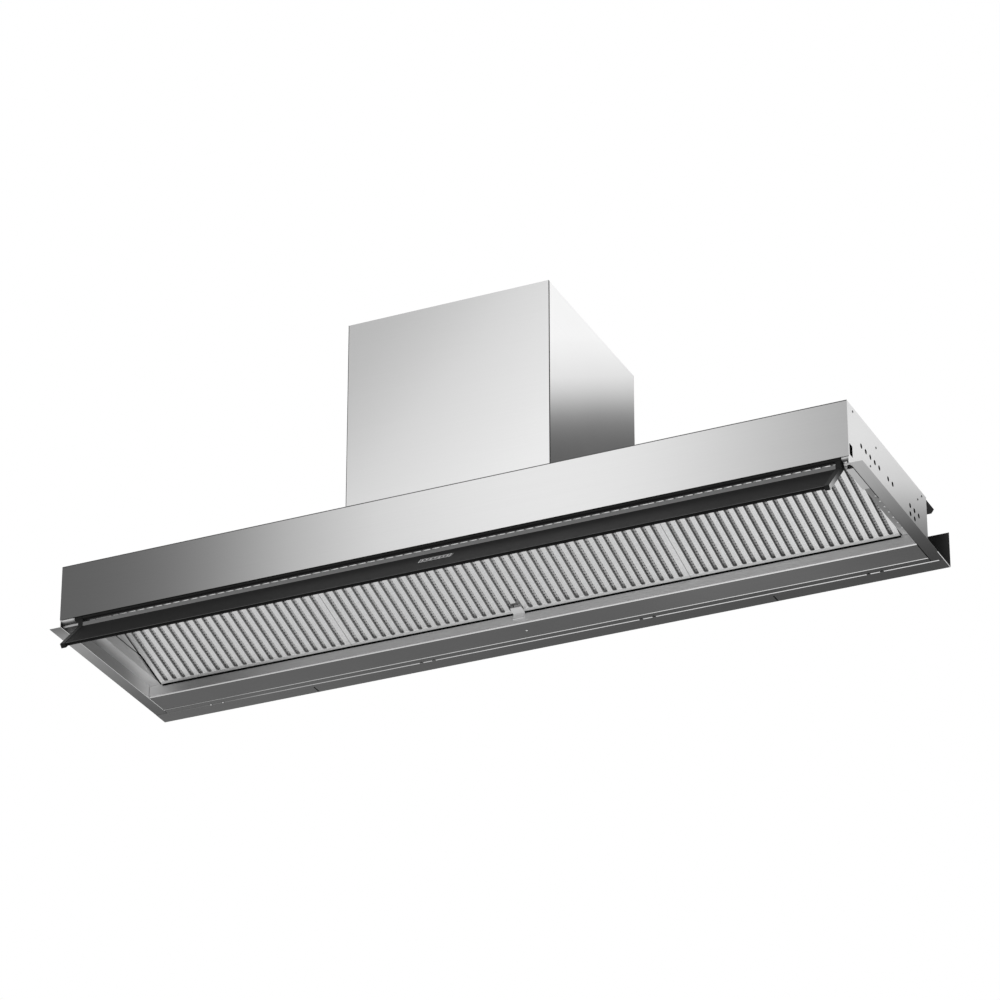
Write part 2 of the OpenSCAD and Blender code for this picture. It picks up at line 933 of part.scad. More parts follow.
// Upright satin lip along the top of the glass
module visor_lip() {
  foot = [face_start, face_off];
  color("gray")
    in_visor()
      along_x(blade_x0 + cap_w, blade_x1 - cap_w)
        polygon([foot, foot + lip_h * up_dir(), foot + lip_h * up_dir() + lip_t * back_dir(),
          foot + lip_t * back_dir()]);
}

module touch_panel() {
  color([0.2, 0.2, 0.22])
    in_visor()
      block([-touch_w / 2, touch_y, face_off], [touch_w / 2, touch_y + touch_l, face_off + touch_t]);
}

// Touch electronics behind the glass, inside the tray
module touch_board() {
  color("darkgreen")
    in_visor()
      block([-touch_w / 2 - board_side, touch_y, tray_z],
        [touch_w / 2 + board_side, touch_y + board_l, tray_z + board_t]);
}

module fan_box_front() {
  color(steel)
    block([-box_half_w, -box_half_d, -box_h], [box_half_w, -box_half_d + sheet, 0]);
}

module box_side() {
  block([box_half_w - sheet, -box_half_d + sheet, -box_h], [box_half_w, box_half_d - sheet, 0]);
}

module fan_box_right() {
  color(steel)
    box_side();
}

module fan_box_left() {
  color(steel)
    mirror([1, 0, 0])
      box_side();
}

// Rear panel, with a bottom return that closes the part behind the body
module fan_box_back() {
  color(steel)
    union() {
      block([-box_half_w, box_half_d - sheet, -box_h], [box_half_w, box_half_d, 0]);
      block([-box_half_w + sheet, rear_y - 2 * sheet, -box_h],
        [box_half_w - sheet, box_half_d, -box_h + sheet]);
    }
}

module fan_box_lid() {
  color(steel)
    difference() {
      block([-box_half_w + sheet, -box_half_d + sheet, -sheet],
        [box_half_w - sheet, box_half_d - sheet, 0]);
      translate([0, collar_y, -sheet - over])
        cylinder(h = sheet + 2 * over, r = collar_in_r);
      for (sx = [-1, 1])
        for (sy = [-1, 1])
          translate([sx * bolt_x / 2, sy * bolt_y / 2, -sheet - over])
            cylinder(h = sheet + 2 * over, r = bolt_r);
    }
}

// Duct collar with its seating flange, the stop ring and the damper pin holes
module duct_collar() {
  color(zinc)
    translate([0, collar_y, 0])
      difference() {
        union() {
          cylinder(h = sheet, r = collar_out_r + collar_flange);
          cylinder(h = collar_h, r = collar_out_r);
        }
        translate([0, 0, -over])
          cylinder(h = damper_z - seat_gap - damper_stop + over, r = collar_in_r);
        translate([0, 0, -over])
          cylinder(h = collar_h + 2 * over, r = collar_in_r - damper_stop);
        translate([0, 0, damper_z - seat_gap])
          cylinder(h = collar_h, r = collar_in_r);
        for (s = [-1, 1])
          translate([0, s * damper_split, damper_pin_z])
            bar_x(-collar_d, collar_d, damper_pin_r + running_fit);
      }
}

// Half-round damper flap on its pin, on the rear side
module damper_flap() {
  hub_x = collar_in_r - damper_gap - damper_hub_cut;
  translate([0, collar_y, 0]) {
    translate([0, 0, damper_z])
      difference() {
        cylinder(h = damper_t, r = collar_in_r - damper_gap);
        block([-collar_d, -collar_d, -over], [collar_d, damper_split, damper_t + over]);
      }
    translate([0, damper_split, damper_pin_z]) {
      bar_x(-hub_x, hub_x, damper_hub_r);
      bar_x(-damper_pin_x, damper_pin_x, damper_pin_r);
    }
  }
}

module rear_damper() {
  color(zinc)
    damper_flap();
}

module front_damper() {
  color(zinc)
    translate([0, 2 * collar_y, 0])
      mirror([0, 1, 0])
        damper_flap();
}

// Curved wall of the fan scroll, open at the top to the collar
module fan_scroll() {
  color(zinc)
    translate([0, fan_y, fan_z])
      along_x(-scroll_half, scroll_half)
        difference() {
          polygon(scroll_outline(sheet, scroll_top));
          polygon(scroll_outline(0, scroll_top + over));
        }
}

// Flat sides of the scroll, each with a round inlet
module fan_scroll_sides() {
  color(zinc)
    translate([0, fan_y, fan_z])
      for (s = [0, 1])
        mirror([s, 0, 0])
          along_x(scroll_half, scroll_half + sheet)
            difference() {
              polygon(scroll_outline(sheet, scroll_top));
              circle(r = inlet_r);
            }
}

motor_x0 = -scroll_half - sheet - arm_t;

module fan_motor() {
  color(dark_steel)
    translate([0, fan_y, fan_z])
      difference() {
        bar_x(motor_x0 + arm_t, -motor_gap, motor_r);
        bar_x(-axle_len, 0, axle_r + running_fit);
      }
}

// Three arms that carry the motor in the left inlet
module motor_bracket() {
  color(zinc)
    translate([0, fan_y, fan_z])
      along_x(motor_x0, motor_x0 + arm_t) {
        circle(r = arm_ring_r);
        for (k = [0 : arm_count - 1])
          rotate(k * 360 / arm_count + arm_turn)
            translate([0, -arm_w / 2])
              square([inlet_r + arm_reach, arm_w]);
      }
}

module motor_shaft() {
  color(zinc)
    translate([0, fan_y, fan_z])
      bar_x(-axle_len + axle_gap, hub_w, axle_r);
}

// Squirrel-cage wheel: hub and centre disc, two end rings and the blades
module fan_wheel() {
  color("dimgray")
    translate([0, fan_y, fan_z])
      difference() {
        union() {
          bar_x(-disc_t / 2, disc_t / 2, wheel_r - blade_t);
          bar_x(-disc_t / 2, hub_w, hub_r);
          along_x(-wheel_w / 2, wheel_w / 2)
            for (k = [0 : blade_count - 1])
              rotate(k * 360 / blade_count)
                translate([wheel_r - blade_d, -blade_t / 2])
                  square([blade_d - blade_t, blade_t]);
          for (x = [-wheel_w / 2, wheel_w / 2 - ring_t])
            along_x(x, x + ring_t)
              difference() {
                circle(r = wheel_r);
                circle(r = wheel_r - blade_d);
              }
        }
        bar_x(-over, hub_w + over, axle_r);
      }
}

// Electronics box on top of the body, with the cable gland in its rear wall
module control_box() {
  y1 = rear_y - unit_rear;
  y0 = y1 - unit_d;
  color(black)
    difference() {
      union() {
        block([unit_x, y0, body_top], [unit_x + unit_w, y1, body_top + unit_h]);
        translate([unit_x + unit_w, (y0 + y1) / 2, body_top + unit_h / 2])
          bar_x(0, gland_len, gland_r);
      }
      block([unit_x + unit_wall, y0 + unit_wall, body_top + unit_wall],
        [unit_x + unit_w - unit_wall, y1 - unit_wall, body_top + unit_h - unit_wall]);
      translate([unit_x + unit_w - unit_wall - over, (y0 + y1) / 2, body_top + unit_h / 2])
        bar_x(0, gland_len + unit_wall + 2 * over, gland_hole_r);
    }
}

front_fascia();
left_side_plate();
right_side_plate();
rear_plate();
top_plate();
left_trim();
right_trim();
rear_angle();
angle_clips();
left_liner();
right_liner();
left_liner_cover();
right_liner_cover();
rear_liner();
front_liner();
left_cheek();
right_cheek();
liner_rivets();
body_screws();
rear_spacers();
lamp_housing();
lamp_diffuser();
filter_hinge_rod();
rod_hangers();
filter_catches();
left_filter_face();
left_filter_mesh();
left_filter_frame();
mid_filter_face();
mid_filter_mesh();
mid_filter_frame();
filter_latch();
right_filter_face();
right_filter_mesh();
right_filter_frame();
visor_shaft_left();
visor_shaft_right();
visor_rest_pins();
visor_barrel();
visor_end_caps();
visor_glass();
visor_tray();
visor_lip();
touch_panel();
touch_board();
fan_box_front();
fan_box_left();
fan_box_right();
fan_box_back();
fan_box_lid();
duct_collar();
front_damper();
rear_damper();
fan_scroll();
fan_scroll_sides();
fan_motor();
motor_bracket();
motor_shaft();
fan_wheel();
control_box();
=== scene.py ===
# %% [markdown]
# A built-in range hood, dressed for its portrait.
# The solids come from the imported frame. This lesson gives them brushed steel, black glass and
# punched metal, and rebuilds the pieces where fine shape matters more than a plain solid can show.

# %% Load the frame
import bpy
import bmesh
import json
import math
import numpy as np
from mathutils import Matrix, Vector


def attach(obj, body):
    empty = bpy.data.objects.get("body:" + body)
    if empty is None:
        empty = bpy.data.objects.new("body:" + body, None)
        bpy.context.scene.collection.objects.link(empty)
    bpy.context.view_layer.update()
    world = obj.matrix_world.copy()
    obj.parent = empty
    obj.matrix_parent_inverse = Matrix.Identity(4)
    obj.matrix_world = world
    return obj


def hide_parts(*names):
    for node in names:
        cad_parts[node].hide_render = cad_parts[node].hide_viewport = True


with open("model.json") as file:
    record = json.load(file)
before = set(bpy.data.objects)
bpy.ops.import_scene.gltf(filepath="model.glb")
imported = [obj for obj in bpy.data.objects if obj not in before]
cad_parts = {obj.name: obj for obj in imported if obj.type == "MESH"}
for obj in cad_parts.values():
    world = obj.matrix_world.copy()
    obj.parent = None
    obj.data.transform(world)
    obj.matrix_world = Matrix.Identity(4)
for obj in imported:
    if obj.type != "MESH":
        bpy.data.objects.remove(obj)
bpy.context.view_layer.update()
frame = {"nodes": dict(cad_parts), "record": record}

def add_object(name, data):
    obj = bpy.data.objects.new(name, data)
    bpy.context.scene.collection.objects.link(obj)
    return obj

print("nodes in the frame:", len(frame["nodes"]))

# %% [markdown]
# Every size below is in metres and is the one the solids were built with.
# The origin is the centre of the four hanging bolts, on top of the fan box.

# %% Sizes of the hood
MM = 0.001
SHEET = 1.2 * MM
HALF_W = 728 * MM
WALL_X = HALF_W - SHEET
TRIM_HALF = 750 * MM
FRONT_Y = -208 * MM
REAR_Y = 170 * MM
BODY_TOP = -367 * MM
TRIM_Z = -482 * MM
BOX_X = 190 * MM
BOX_Y = 185.5 * MM
LEDGE_W = 24 * MM
LEDGE_Z = -459.5 * MM
HINGE_Y = -199.6 * MM
HINGE_Z = -469.1 * MM
print("body", 2 * HALF_W, "x", round(REAR_Y - FRONT_Y, 4))

# %% [markdown]
# The picture was taken from below and from the right, with a long lens.
# The camera stands where the corners of canopy, fan box and trim fall on the same pixels.

# %% Camera
CAM_AZ = math.radians(24.606)
CAM_EL = math.radians(27.503)
CAM_PLACE = (2.95083, -6.41259, -3.96968)
look = Vector((-math.sin(CAM_AZ) * math.cos(CAM_EL), math.cos(CAM_AZ) * math.cos(CAM_EL), math.sin(CAM_EL)))
cam_data = bpy.data.cameras.new("camera")
cam_data.lens = 166.05
cam_data.sensor_width = 36
cam_data.clip_start = 0.1
cam_data.clip_end = 100
camera = add_object("camera", cam_data)
camera.location = CAM_PLACE
camera.rotation_euler = look.to_track_quat("-Z", "Y").to_euler()
bpy.context.scene.camera = camera
bpy.context.scene.view_settings.view_transform = "Standard"
print("camera", tuple(round(v, 3) for v in camera.location))

# %% [markdown]
# Node trees are wired with four helpers. One gives a socket a link or a value, one adds a node
# and feeds it, one adds a node that calculates, and one mixes two shaders for an output.

# %% Helpers for nodes
def feed(tree, socket, value):
    if isinstance(value, bpy.types.NodeSocket):
        tree.links.new(value, socket)
    else:
        socket.default_value = value

def grow(tree, kind, out=0, **ins):
    node = tree.nodes.new(kind)
    for label, value in ins.items():
        feed(tree, node.inputs[label.replace("_", " ")], value)
    return node.outputs[out]

def maths(tree, operation, *values, kind="ShaderNodeMath"):
    node = tree.nodes.new(kind)
    node.operation = operation
    for socket, value in zip(node.inputs, values):
        feed(tree, socket, value)
    return node.outputs[0]

def blend_shaders(tree, share, first, second, out_kind):
    mix = tree.nodes.new("ShaderNodeMixShader")
    for socket, value in zip(mix.inputs, (share, first, second)):
        tree.links.new(value, socket)
    tree.links.new(mix.outputs[0], tree.nodes.new(out_kind).inputs[0])

print("node helpers ready")

# %% [markdown]
# The room is a pale studio. Steel shows what surrounds it, so mirror rays and the camera see a
# white surround, while the light that falls on the hood stays at a plain level.

# %% World
WHITE = (1, 1, 1, 1)
world = bpy.data.worlds.new("studio")
bpy.context.scene.world = world
world.use_nodes = True
world_tree = world.node_tree
world_tree.nodes.clear()
rays = world_tree.nodes.new("ShaderNodeLightPath").outputs
seen = maths(world_tree, "MAXIMUM", rays["Is Camera Ray"], rays["Is Glossy Ray"])
seen = maths(world_tree, "MAXIMUM", seen, rays["Is Transmission Ray"])
fill_light = grow(world_tree, "ShaderNodeBackground", Color=WHITE, Strength=0.6)
backdrop = grow(world_tree, "ShaderNodeBackground", Color=WHITE, Strength=1.0)
blend_shaders(world_tree, seen, fill_light, backdrop, "ShaderNodeOutputWorld")
print("world ready")

# %% [markdown]
# Two large soft lamps stand in front, one high on the left and one low on the right.
# Soft lamps give the black glass a sheen and leave no hard shadow in the recess.

# %% Lamps
def soft_lamp(name, place, aim, size, power):
    data = bpy.data.lights.new(name, "AREA")
    data.shape = "SQUARE"
    data.size = size
    data.energy = power
    lamp = add_object(name, data)
    lamp.location = place
    lamp.rotation_euler = (Vector(aim) - Vector(place)).to_track_quat("-Z", "Y").to_euler()

soft_lamp("key", place=(-1.6, -1.7, 3.6), aim=(0, 0, -0.3), size=2.0, power=18)
soft_lamp("low_fill", place=(3.0, -1.6, -2.8), aim=(0, 0, -0.45), size=2.0, power=14)
print("lamps ready")

# %% [markdown]
# The floor lies well below the hood, as it does under a hood that hangs from a ceiling.
# It is matt and pale, and mirror rays see it as an even grey.

# %% Floor
FLOOR_Z = -5.0
FLOOR_HALF = 40
floor_corners = [(x * FLOOR_HALF, y * FLOOR_HALF, FLOOR_Z) for x, y in ((-1, -1), (1, -1), (1, 1), (-1, 1))]
floor_mesh = bpy.data.meshes.new("floor")
floor_mesh.from_pydata(floor_corners, [], [(0, 1, 2, 3)])
floor = add_object("floor", floor_mesh)
floor_mat = bpy.data.materials.new("floor_pale")
floor_mat.use_nodes = True
floor_tree = floor_mat.node_tree
floor_tree.nodes.clear()
rays = floor_tree.nodes.new("ShaderNodeLightPath").outputs
seen = maths(floor_tree, "MAXIMUM", rays["Is Camera Ray"], rays["Is Glossy Ray"])
seen = maths(floor_tree, "MULTIPLY", seen, 0.7)
matt = grow(floor_tree, "ShaderNodeBsdfDiffuse", Color=(0.86, 0.86, 0.86, 1))
glow = grow(floor_tree, "ShaderNodeEmission", Color=(0.9, 0.9, 0.9, 1))
blend_shaders(floor_tree, seen, matt, glow, "ShaderNodeOutputMaterial")
floor_mesh.materials.append(floor_mat)
print("floor ready")

# %% [markdown]
# Brushed steel is drawn over a belt, which leaves hair lines along one direction.
# One node group makes them from a noise that is stretched along the belt's direction,
# and gives back a tinted colour, a roughness and a height. Every steel uses it with its own values.

# %% Node group for hair lines
def new_group(name, ins, outs, kind="ShaderNodeTree"):
    group = bpy.data.node_groups.new(name, kind)
    for label, sort, value in ins:
        sock = group.interface.new_socket(label, in_out="INPUT", socket_type="NodeSocket" + sort)
        if value is not None:
            sock.default_value = value
    for label, sort in outs:
        group.interface.new_socket(label, in_out="OUTPUT", socket_type="NodeSocket" + sort)
    return group, group.nodes.new("NodeGroupInput").outputs, group.nodes.new("NodeGroupOutput").inputs

hair_lines, hair_in, hair_out = new_group(
    "hair_lines",
    [("Place", "Vector", (0, 0, 0)), ("Stretch", "Vector", (4, 900, 900)),
     ("Colour", "Color", (0.7, 0.7, 0.7, 1)), ("Depth", "Float", 0.1), ("Roughness", "Float", 0.3)],
    [("Colour", "Color"), ("Roughness", "Float"), ("Height", "Float")])
drawn = maths(hair_lines, "MULTIPLY", hair_in["Place"], hair_in["Stretch"], kind="ShaderNodeVectorMath")
fine = grow(hair_lines, "ShaderNodeTexNoise", Vector=drawn, Scale=1.0, Detail=4.0, Roughness=0.65)
wide = grow(hair_lines, "ShaderNodeTexNoise", Vector=hair_in["Place"], Scale=5.0, Detail=2.0)
swing = maths(hair_lines, "MULTIPLY", maths(hair_lines, "SUBTRACT", fine, 0.5), hair_in["Depth"])
tint = hair_lines.nodes.new("ShaderNodeVectorMath")
tint.operation = "SCALE"
feed(hair_lines, tint.inputs[0], hair_in["Colour"])
feed(hair_lines, tint.inputs["Scale"], maths(hair_lines, "ADD", swing, 1.0))
feed(hair_lines, hair_out["Colour"], tint.outputs[0])
feed(hair_lines, hair_out["Roughness"], maths(hair_lines, "MULTIPLY_ADD", wide, 0.12, hair_in["Roughness"]))
feed(hair_lines, hair_out["Height"], fine)
print("group:", hair_lines.name)

# %% [markdown]
# Sheet steel never shows one even grey: a broad soft band of light lies across it.
# The second group paints that band into the colour: it turns a place on the sheet into a share, measured
# along a direction, between a start and an end, and the material's own ramp gives the painted greys.

# %% Node group for the painted band of light
painted_light_band, band_in, band_out = new_group(
    "painted_light_band",
    [("Place", "Vector", (0, 0, 0)), ("Direction", "Vector", (1, 0, 0)),
     ("Start", "Float", -1.0), ("End", "Float", 1.0)],
    [("Share", "Float")])
along = painted_light_band.nodes.new("ShaderNodeVectorMath")
along.operation = "DOT_PRODUCT"
feed(painted_light_band, along.inputs[0], band_in["Place"])
feed(painted_light_band, along.inputs[1], band_in["Direction"])
share = grow(painted_light_band, "ShaderNodeMapRange", Value=along.outputs["Value"],
             From_Min=band_in["Start"], From_Max=band_in["End"])
feed(painted_light_band, band_out["Share"], share)
print("group:", painted_light_band.name)

# %% [markdown]
# Materials need a few small helpers: a grey from the 0 to 255 scale, a group placed in a
# material, and a steel that joins the painted band of light, hair lines and bump on one Principled BSDF.
# A span is the direction, the start and the end over which a steel's band of painted greys runs.

# %% Helpers for materials
RELIEF = 0.2 * MM

def grey(level):
    c = level / 255
    lin = c / 12.92 if c <= 0.04045 else ((c + 0.055) / 1.055) ** 2.4
    return (lin, lin, lin, 1)

def place_group(tree, group, **values):
    node = tree.nodes.new("ShaderNodeGroup")
    node.node_tree = group
    for label, value in values.items():
        feed(tree, node.inputs[label], value)
    return node.outputs

def new_material(name):
    mat = bpy.data.materials.new(name)
    mat.use_nodes = True
    tree = mat.node_tree
    place = tree.nodes.new("ShaderNodeTexCoord").outputs["Object"]
    return mat, tree, tree.nodes["Principled BSDF"].inputs, place

def add_bump(tree, shader, height, strength):
    bump = grow(tree, "ShaderNodeBump", Strength=strength, Distance=RELIEF, Height=height)
    feed(tree, shader["Normal"], bump)

def painted_band_colour(tree, place, greys, direction, start, end, soft=True):
    band = place_group(tree, painted_light_band, Place=place, Direction=direction, Start=start, End=end)
    ramp = tree.nodes.new("ShaderNodeValToRGB")
    ramp.color_ramp.interpolation = "B_SPLINE" if soft and len(greys) > 2 else "LINEAR"
    while len(ramp.color_ramp.elements) < len(greys):
        ramp.color_ramp.elements.new(0.5)
    for element, (share, level) in zip(ramp.color_ramp.elements, greys):
        element.position = share
        element.color = grey(level)
    tree.links.new(band["Share"], ramp.inputs["Fac"])
    return ramp.outputs["Color"]

def steel(name, greys, span, stretch, depth, rough=0.3, metal=1.0, shine=0.5, cross=None, bump=0.15):
    mat, tree, shader, place = new_material(name)
    colour = painted_band_colour(tree, place, greys, *span)
    # A cross band multiplies the greys with a painted shade, such as the dark above the filters on the left
    # cheek.
    if cross:
        second = painted_band_colour(tree, place, *cross, soft=False)
        colour = maths(tree, "MULTIPLY", colour, second, kind="ShaderNodeVectorMath")
    lines = place_group(tree, hair_lines, Place=place, Stretch=stretch, Colour=colour,
                        Depth=depth, Roughness=rough)
    feed(tree, shader["Base Color"], lines["Colour"])
    feed(tree, shader["Roughness"], lines["Roughness"])
    shader["Specular IOR Level"].default_value = shine
    shader["Metallic"].default_value = metal
    add_bump(tree, shader, lines["Height"], bump)
    return mat

def even(count):
    return (count, count, count)

print("material helpers ready")

# %% [markdown]
# The fascia is the hood's face. Its greys are a painted reflection that runs from a dark left end over a
# bright middle to a softer right end, and its hair lines run along the hood. The fan box has a painted sheen
# that grows brighter towards its lower right corner, and its right side has a painted reflection that falls
# from white to a dark foot.

# %% Steel of the outside
ACROSS = (1, 0, 0)
DEEP = (0, 1, 0)
body_span = (ACROSS, -HALF_W, HALF_W)
wide_span = (ACROSS, -730 * MM, 730 * MM)
trim_span = (ACROSS, -TRIM_HALF, TRIM_HALF)
box_front_span = ((0.7071, 0, -0.7071), -0.134, 0.394)
box_side_span = ((0, 0.459, -0.889), 0.0, 0.24)
body_side_span = ((0, 0.442, -0.897), 0.237, 0.507)
long_grain = (3, 700, 700)
deep_grain = (700, 3, 700)
fascia_steel = steel(
    "fascia_steel", [(0, 94), (0.1, 104), (0.2, 133), (0.3, 178), (0.42, 214), (0.62, 235),
                     (0.8, 224), (1, 163)],
    body_span, long_grain, depth=0.06)
front_box_steel = steel(
    "front_box_steel", [(0, 181), (0.2, 190), (0.45, 213), (0.75, 228), (1, 237)],
    box_front_span, long_grain, depth=0.05)
side_box_steel = steel(
    "side_box_steel", [(0.1, 247), (0.35, 228), (0.47, 202), (0.6, 143), (0.72, 98), (0.85, 66), (1, 55)],
    box_side_span, deep_grain, depth=0.05)
# The side plates carry a painted reflection too: light above, dark towards the foot.
body_side_steel = steel(
    "body_side_steel", [(0, 219), (0.25, 226), (0.5, 205), (0.6, 188), (0.72, 139), (0.84, 100), (1, 80)],
    body_side_span, deep_grain, depth=0.06)
# The top plate and the fan box's rear and lid have a mild painted sheen in the middle.
plain_steel = steel("plain_steel", [(0, 205), (0.5, 222), (1, 196)], trim_span, long_grain, depth=0.1)
print("steels of the outside ready")

# %% [markdown]
# The sheets that are seen from below face the dark cooker, and their greys are a painted dark reflection
# of it, a deep satin grey. The rear box is painted darkest on its underside and lighter on its front wall,
# and the sheets beside the filters have painted light that grows brighter towards the rear.

# %% Steel of the underside
inner_span = (DEEP, -0.15, 0.11)
side_trim_span = (DEEP, -0.2, 0.18)
# Painted shade: the left cheek turns dark above the filters' plane.
cheek_painted_shade = ([(0, 255), (1, 20)], (0, 0.2907, 0.9568), -0.4131, -0.4119)
trim_grain = (3, 600, 600)
side_trim_grain = (600, 3, 600)
inner_grain = (500, 3, 500)
trim_steel = steel(
    "trim_steel", [(0, 104), (0.3, 92), (0.85, 70), (1, 62)], trim_span, trim_grain, depth=0.12, rough=0.34)
rear_box_steel = steel(
    "rear_box_steel", [(0, 97), (0.5, 93), (0.62, 94), (0.73, 108), (0.86, 104), (0.95, 90), (1, 88)],
    wide_span, trim_grain, depth=0.15, rough=0.36, metal=0.7)
# Painted light on the rear box's front wall: bright, with a darker dip near its left end.
rear_wall_steel = steel(
    "rear_wall_steel", [(0, 250), (0.02, 235), (0.05, 166), (0.1, 172), (0.15, 205), (0.22, 240),
                        (0.5, 245), (0.8, 255), (0.92, 236), (1, 222)],
    (ACROSS, -0.727, 0.727), trim_grain, depth=0.15, rough=0.36, metal=0.3)
left_cheek_steel = steel(
    "left_cheek_steel", [(0, 190), (0.5, 205), (1, 240)],
    inner_span, inner_grain, depth=0.15, rough=0.36, metal=0.6, cross=cheek_painted_shade)
# The side trims have painted light near the front and painted shade towards the rear.
right_trim_steel = steel(
    "right_trim_steel", [(0, 205), (0.3, 172), (0.6, 104), (0.8, 72), (1, 42)],
    side_trim_span, side_trim_grain, depth=0.12, rough=0.34)
left_trim_steel = steel(
    "left_trim_steel", [(0, 125), (0.06, 150), (0.14, 176), (0.35, 154), (0.7, 116), (1, 84)],
    side_trim_span, side_trim_grain, depth=0.12, rough=0.34)
left_liner_steel = steel(
    "left_liner_steel", [(0, 190), (0.5, 205), (1, 240)],
    inner_span, inner_grain, depth=0.15, rough=0.36, metal=0.6)
# The inner faces of the side plates are painted: shade at the front, behind the fascia, and a highlight
# towards the rear.
inner_wall_painted_light = steel(
    "inner_wall_painted_light", [(0, 22), (0.07, 30), (0.11, 140), (0.46, 142), (0.65, 145), (0.77, 155),
                         (0.9, 215), (1, 240)],
    (DEEP, FRONT_Y, 0.113), inner_grain, depth=0.15, rough=0.36, metal=0.3)
right_liner_steel = steel(
    "right_liner_steel", [(0, 158), (0.7, 142), (0.88, 165), (1, 252)],
    inner_span, inner_grain, depth=0.15, rough=0.36, metal=0.4)
cover_steel = steel(
    "cover_steel", [(0, 214), (1, 206)], (DEEP, -0.15, -0.07), inner_grain, depth=0.1, rough=0.4)
# Bright bends and seams are painted highlights.
bend_highlight_steel = steel(
    "bend_highlight_steel", [(0, 205), (0.5, 235), (1, 250)], trim_span, trim_grain, depth=0.1, rough=0.14)
seam_highlight_steel = steel(
    "seam_highlight_steel", [(0, 96), (0.08, 108), (0.13, 180), (0.3, 215), (0.5, 235), (1, 248)],
    (ACROSS, -0.72, 0.72), trim_grain, depth=0.1, rough=0.14, metal=0.95)
print("steels of the underside ready")

# %% [markdown]
# The filters are the bright exception below: their bars are tilted to the front light, and their greys
# paint that light in. The rear rim has a painted highlight, and the slot walls and the apron under the latch
# carry painted shade. Their faces carry no belt lines, so the grain is the same in every direction.

# %% Steel of the filters
filter_span = (ACROSS, -0.7, 0.7)
filter_grain = even(480)
filter_steel = steel(
    "filter_steel", [(0, 232), (0.5, 230), (0.75, 238), (1, 252)],
    filter_span, filter_grain, depth=0.8, rough=0.34, metal=0.9)
rim_highlight_steel = steel(
    "rim_highlight_steel", [(0, 236), (0.5, 244), (1, 252)],
    filter_span, filter_grain, depth=0.3, rough=0.14, metal=0.95)
slot_wall_shade_steel = steel(
    "slot_wall_shade_steel", [(0, 170), (0.6, 172), (0.75, 140), (1, 136)],
    filter_span, even(400), depth=0.2, rough=0.5, shine=0.1)
mesh_steel = steel(
    "mesh_steel", [(0, 232), (0.3, 240), (0.6, 236), (0.75, 205), (1, 195)],
    filter_span, even(400), depth=0.1, rough=0.4)
apron_shade_steel = steel(
    "apron_shade_steel", [(0, 190), (0.3, 180), (0.5, 140), (0.7, 180), (1, 190)],
    (ACROSS, -0.012, 0.012), even(400), depth=0.3, rough=0.5, metal=0.3)
print("steels of the filters ready")

# %% [markdown]
# Small parts have finishes of their own: zinc on brackets, polished rods and shafts, light
# rivets, and dark screws. A cut edge is darker than its sheet. The shaft's greys are painted shading, and the
# dark inside finish is painted shade for hollows, hole walls and the space behind them.

# %% Steel of the small parts
rod_grain = (900, 8, 8)
shaft_span = ((0, 0, 1), HINGE_Z - 6 * MM, HINGE_Z + 6 * MM)
zinc_steel = steel(
    "zinc_steel", [(0, 205), (0.5, 214), (1, 205)], filter_span, even(60), depth=0.25, rough=0.36)
bright_steel = steel(
    "bright_steel", [(0, 226), (0.5, 236), (1, 226)], wide_span, (800, 8, 8), depth=0.15, rough=0.16)
clip_steel = steel(
    "clip_steel", [(0, 240), (0.2, 235), (0.3, 90), (1, 50)], wide_span, even(80), depth=0.15, rough=0.3)
light_rivet = steel(
    "light_rivet", [(0, 240), (1, 252)], filter_span, even(80), depth=0.1, rough=0.3, metal=0.3)
edge_steel = steel(
    "edge_steel", [(0, 70), (0.5, 96), (1, 84)],
    wide_span, even(60), depth=0.1, rough=0.5, metal=0.3, shine=0.2)
# Painted shading: the shaft is light above its axis and dark below it.
shaft_painted_shading = steel(
    "shaft_painted_shading", [(0, 60), (0.12, 110), (0.3, 235), (0.5, 252), (1, 220)],
    shaft_span, rod_grain, depth=0.1, rough=0.3, metal=0.5)
rod_steel = steel("rod_steel", [(0, 200), (1, 225)], wide_span, rod_grain, depth=0.1, rough=0.3, metal=0.5)
dark_screw_steel = steel(
    "dark_screw_steel", [(0, 60), (0.5, 66), (1, 60)], wide_span, even(80), depth=0.15, rough=0.4, shine=0.1)
# Painted shade: a near-black finish for hollows and for sheets that stand in the dark.
painted_inside_shade = steel(
    "painted_inside_shade", [(0, 10), (0.5, 14), (1, 10)],
    wide_span, even(80), depth=0.2, rough=0.6, metal=0.0, shine=0.05)
print("steels of the small parts ready")

# %% [markdown]
# Plastics and paints share one recipe: two close greys under a fine dimple, and a roughness that
# wanders a little. Most are black; the latch, the lamp and the touch marks are light.

# %% Plastics and paints
CLOUD_SCALE = 14
WEAR = 0.12

def moulded(name, level, rough, dimple=1500, relief=0.25, spread=0.25, shine=0.5):
    mat, tree, shader, place = new_material(name)
    dimples = grow(tree, "ShaderNodeTexNoise", Vector=place, Scale=dimple, Detail=3.0)
    mix = tree.nodes.new("ShaderNodeMix")
    mix.data_type = "RGBA"
    mix.inputs["A"].default_value = grey(level * (1 - spread))
    mix.inputs["B"].default_value = grey(level * (1 + spread))
    feed(tree, mix.inputs["Factor"], dimples)
    feed(tree, shader["Base Color"], mix.outputs["Result"])
    cloud = grow(tree, "ShaderNodeTexNoise", Vector=place, Scale=CLOUD_SCALE)
    wear = grow(tree, "ShaderNodeMapRange", Value=cloud, To_Min=rough, To_Max=rough + WEAR)
    feed(tree, shader["Roughness"], wear)
    shader["Specular IOR Level"].default_value = shine
    add_bump(tree, shader, dimples, relief)
    return mat

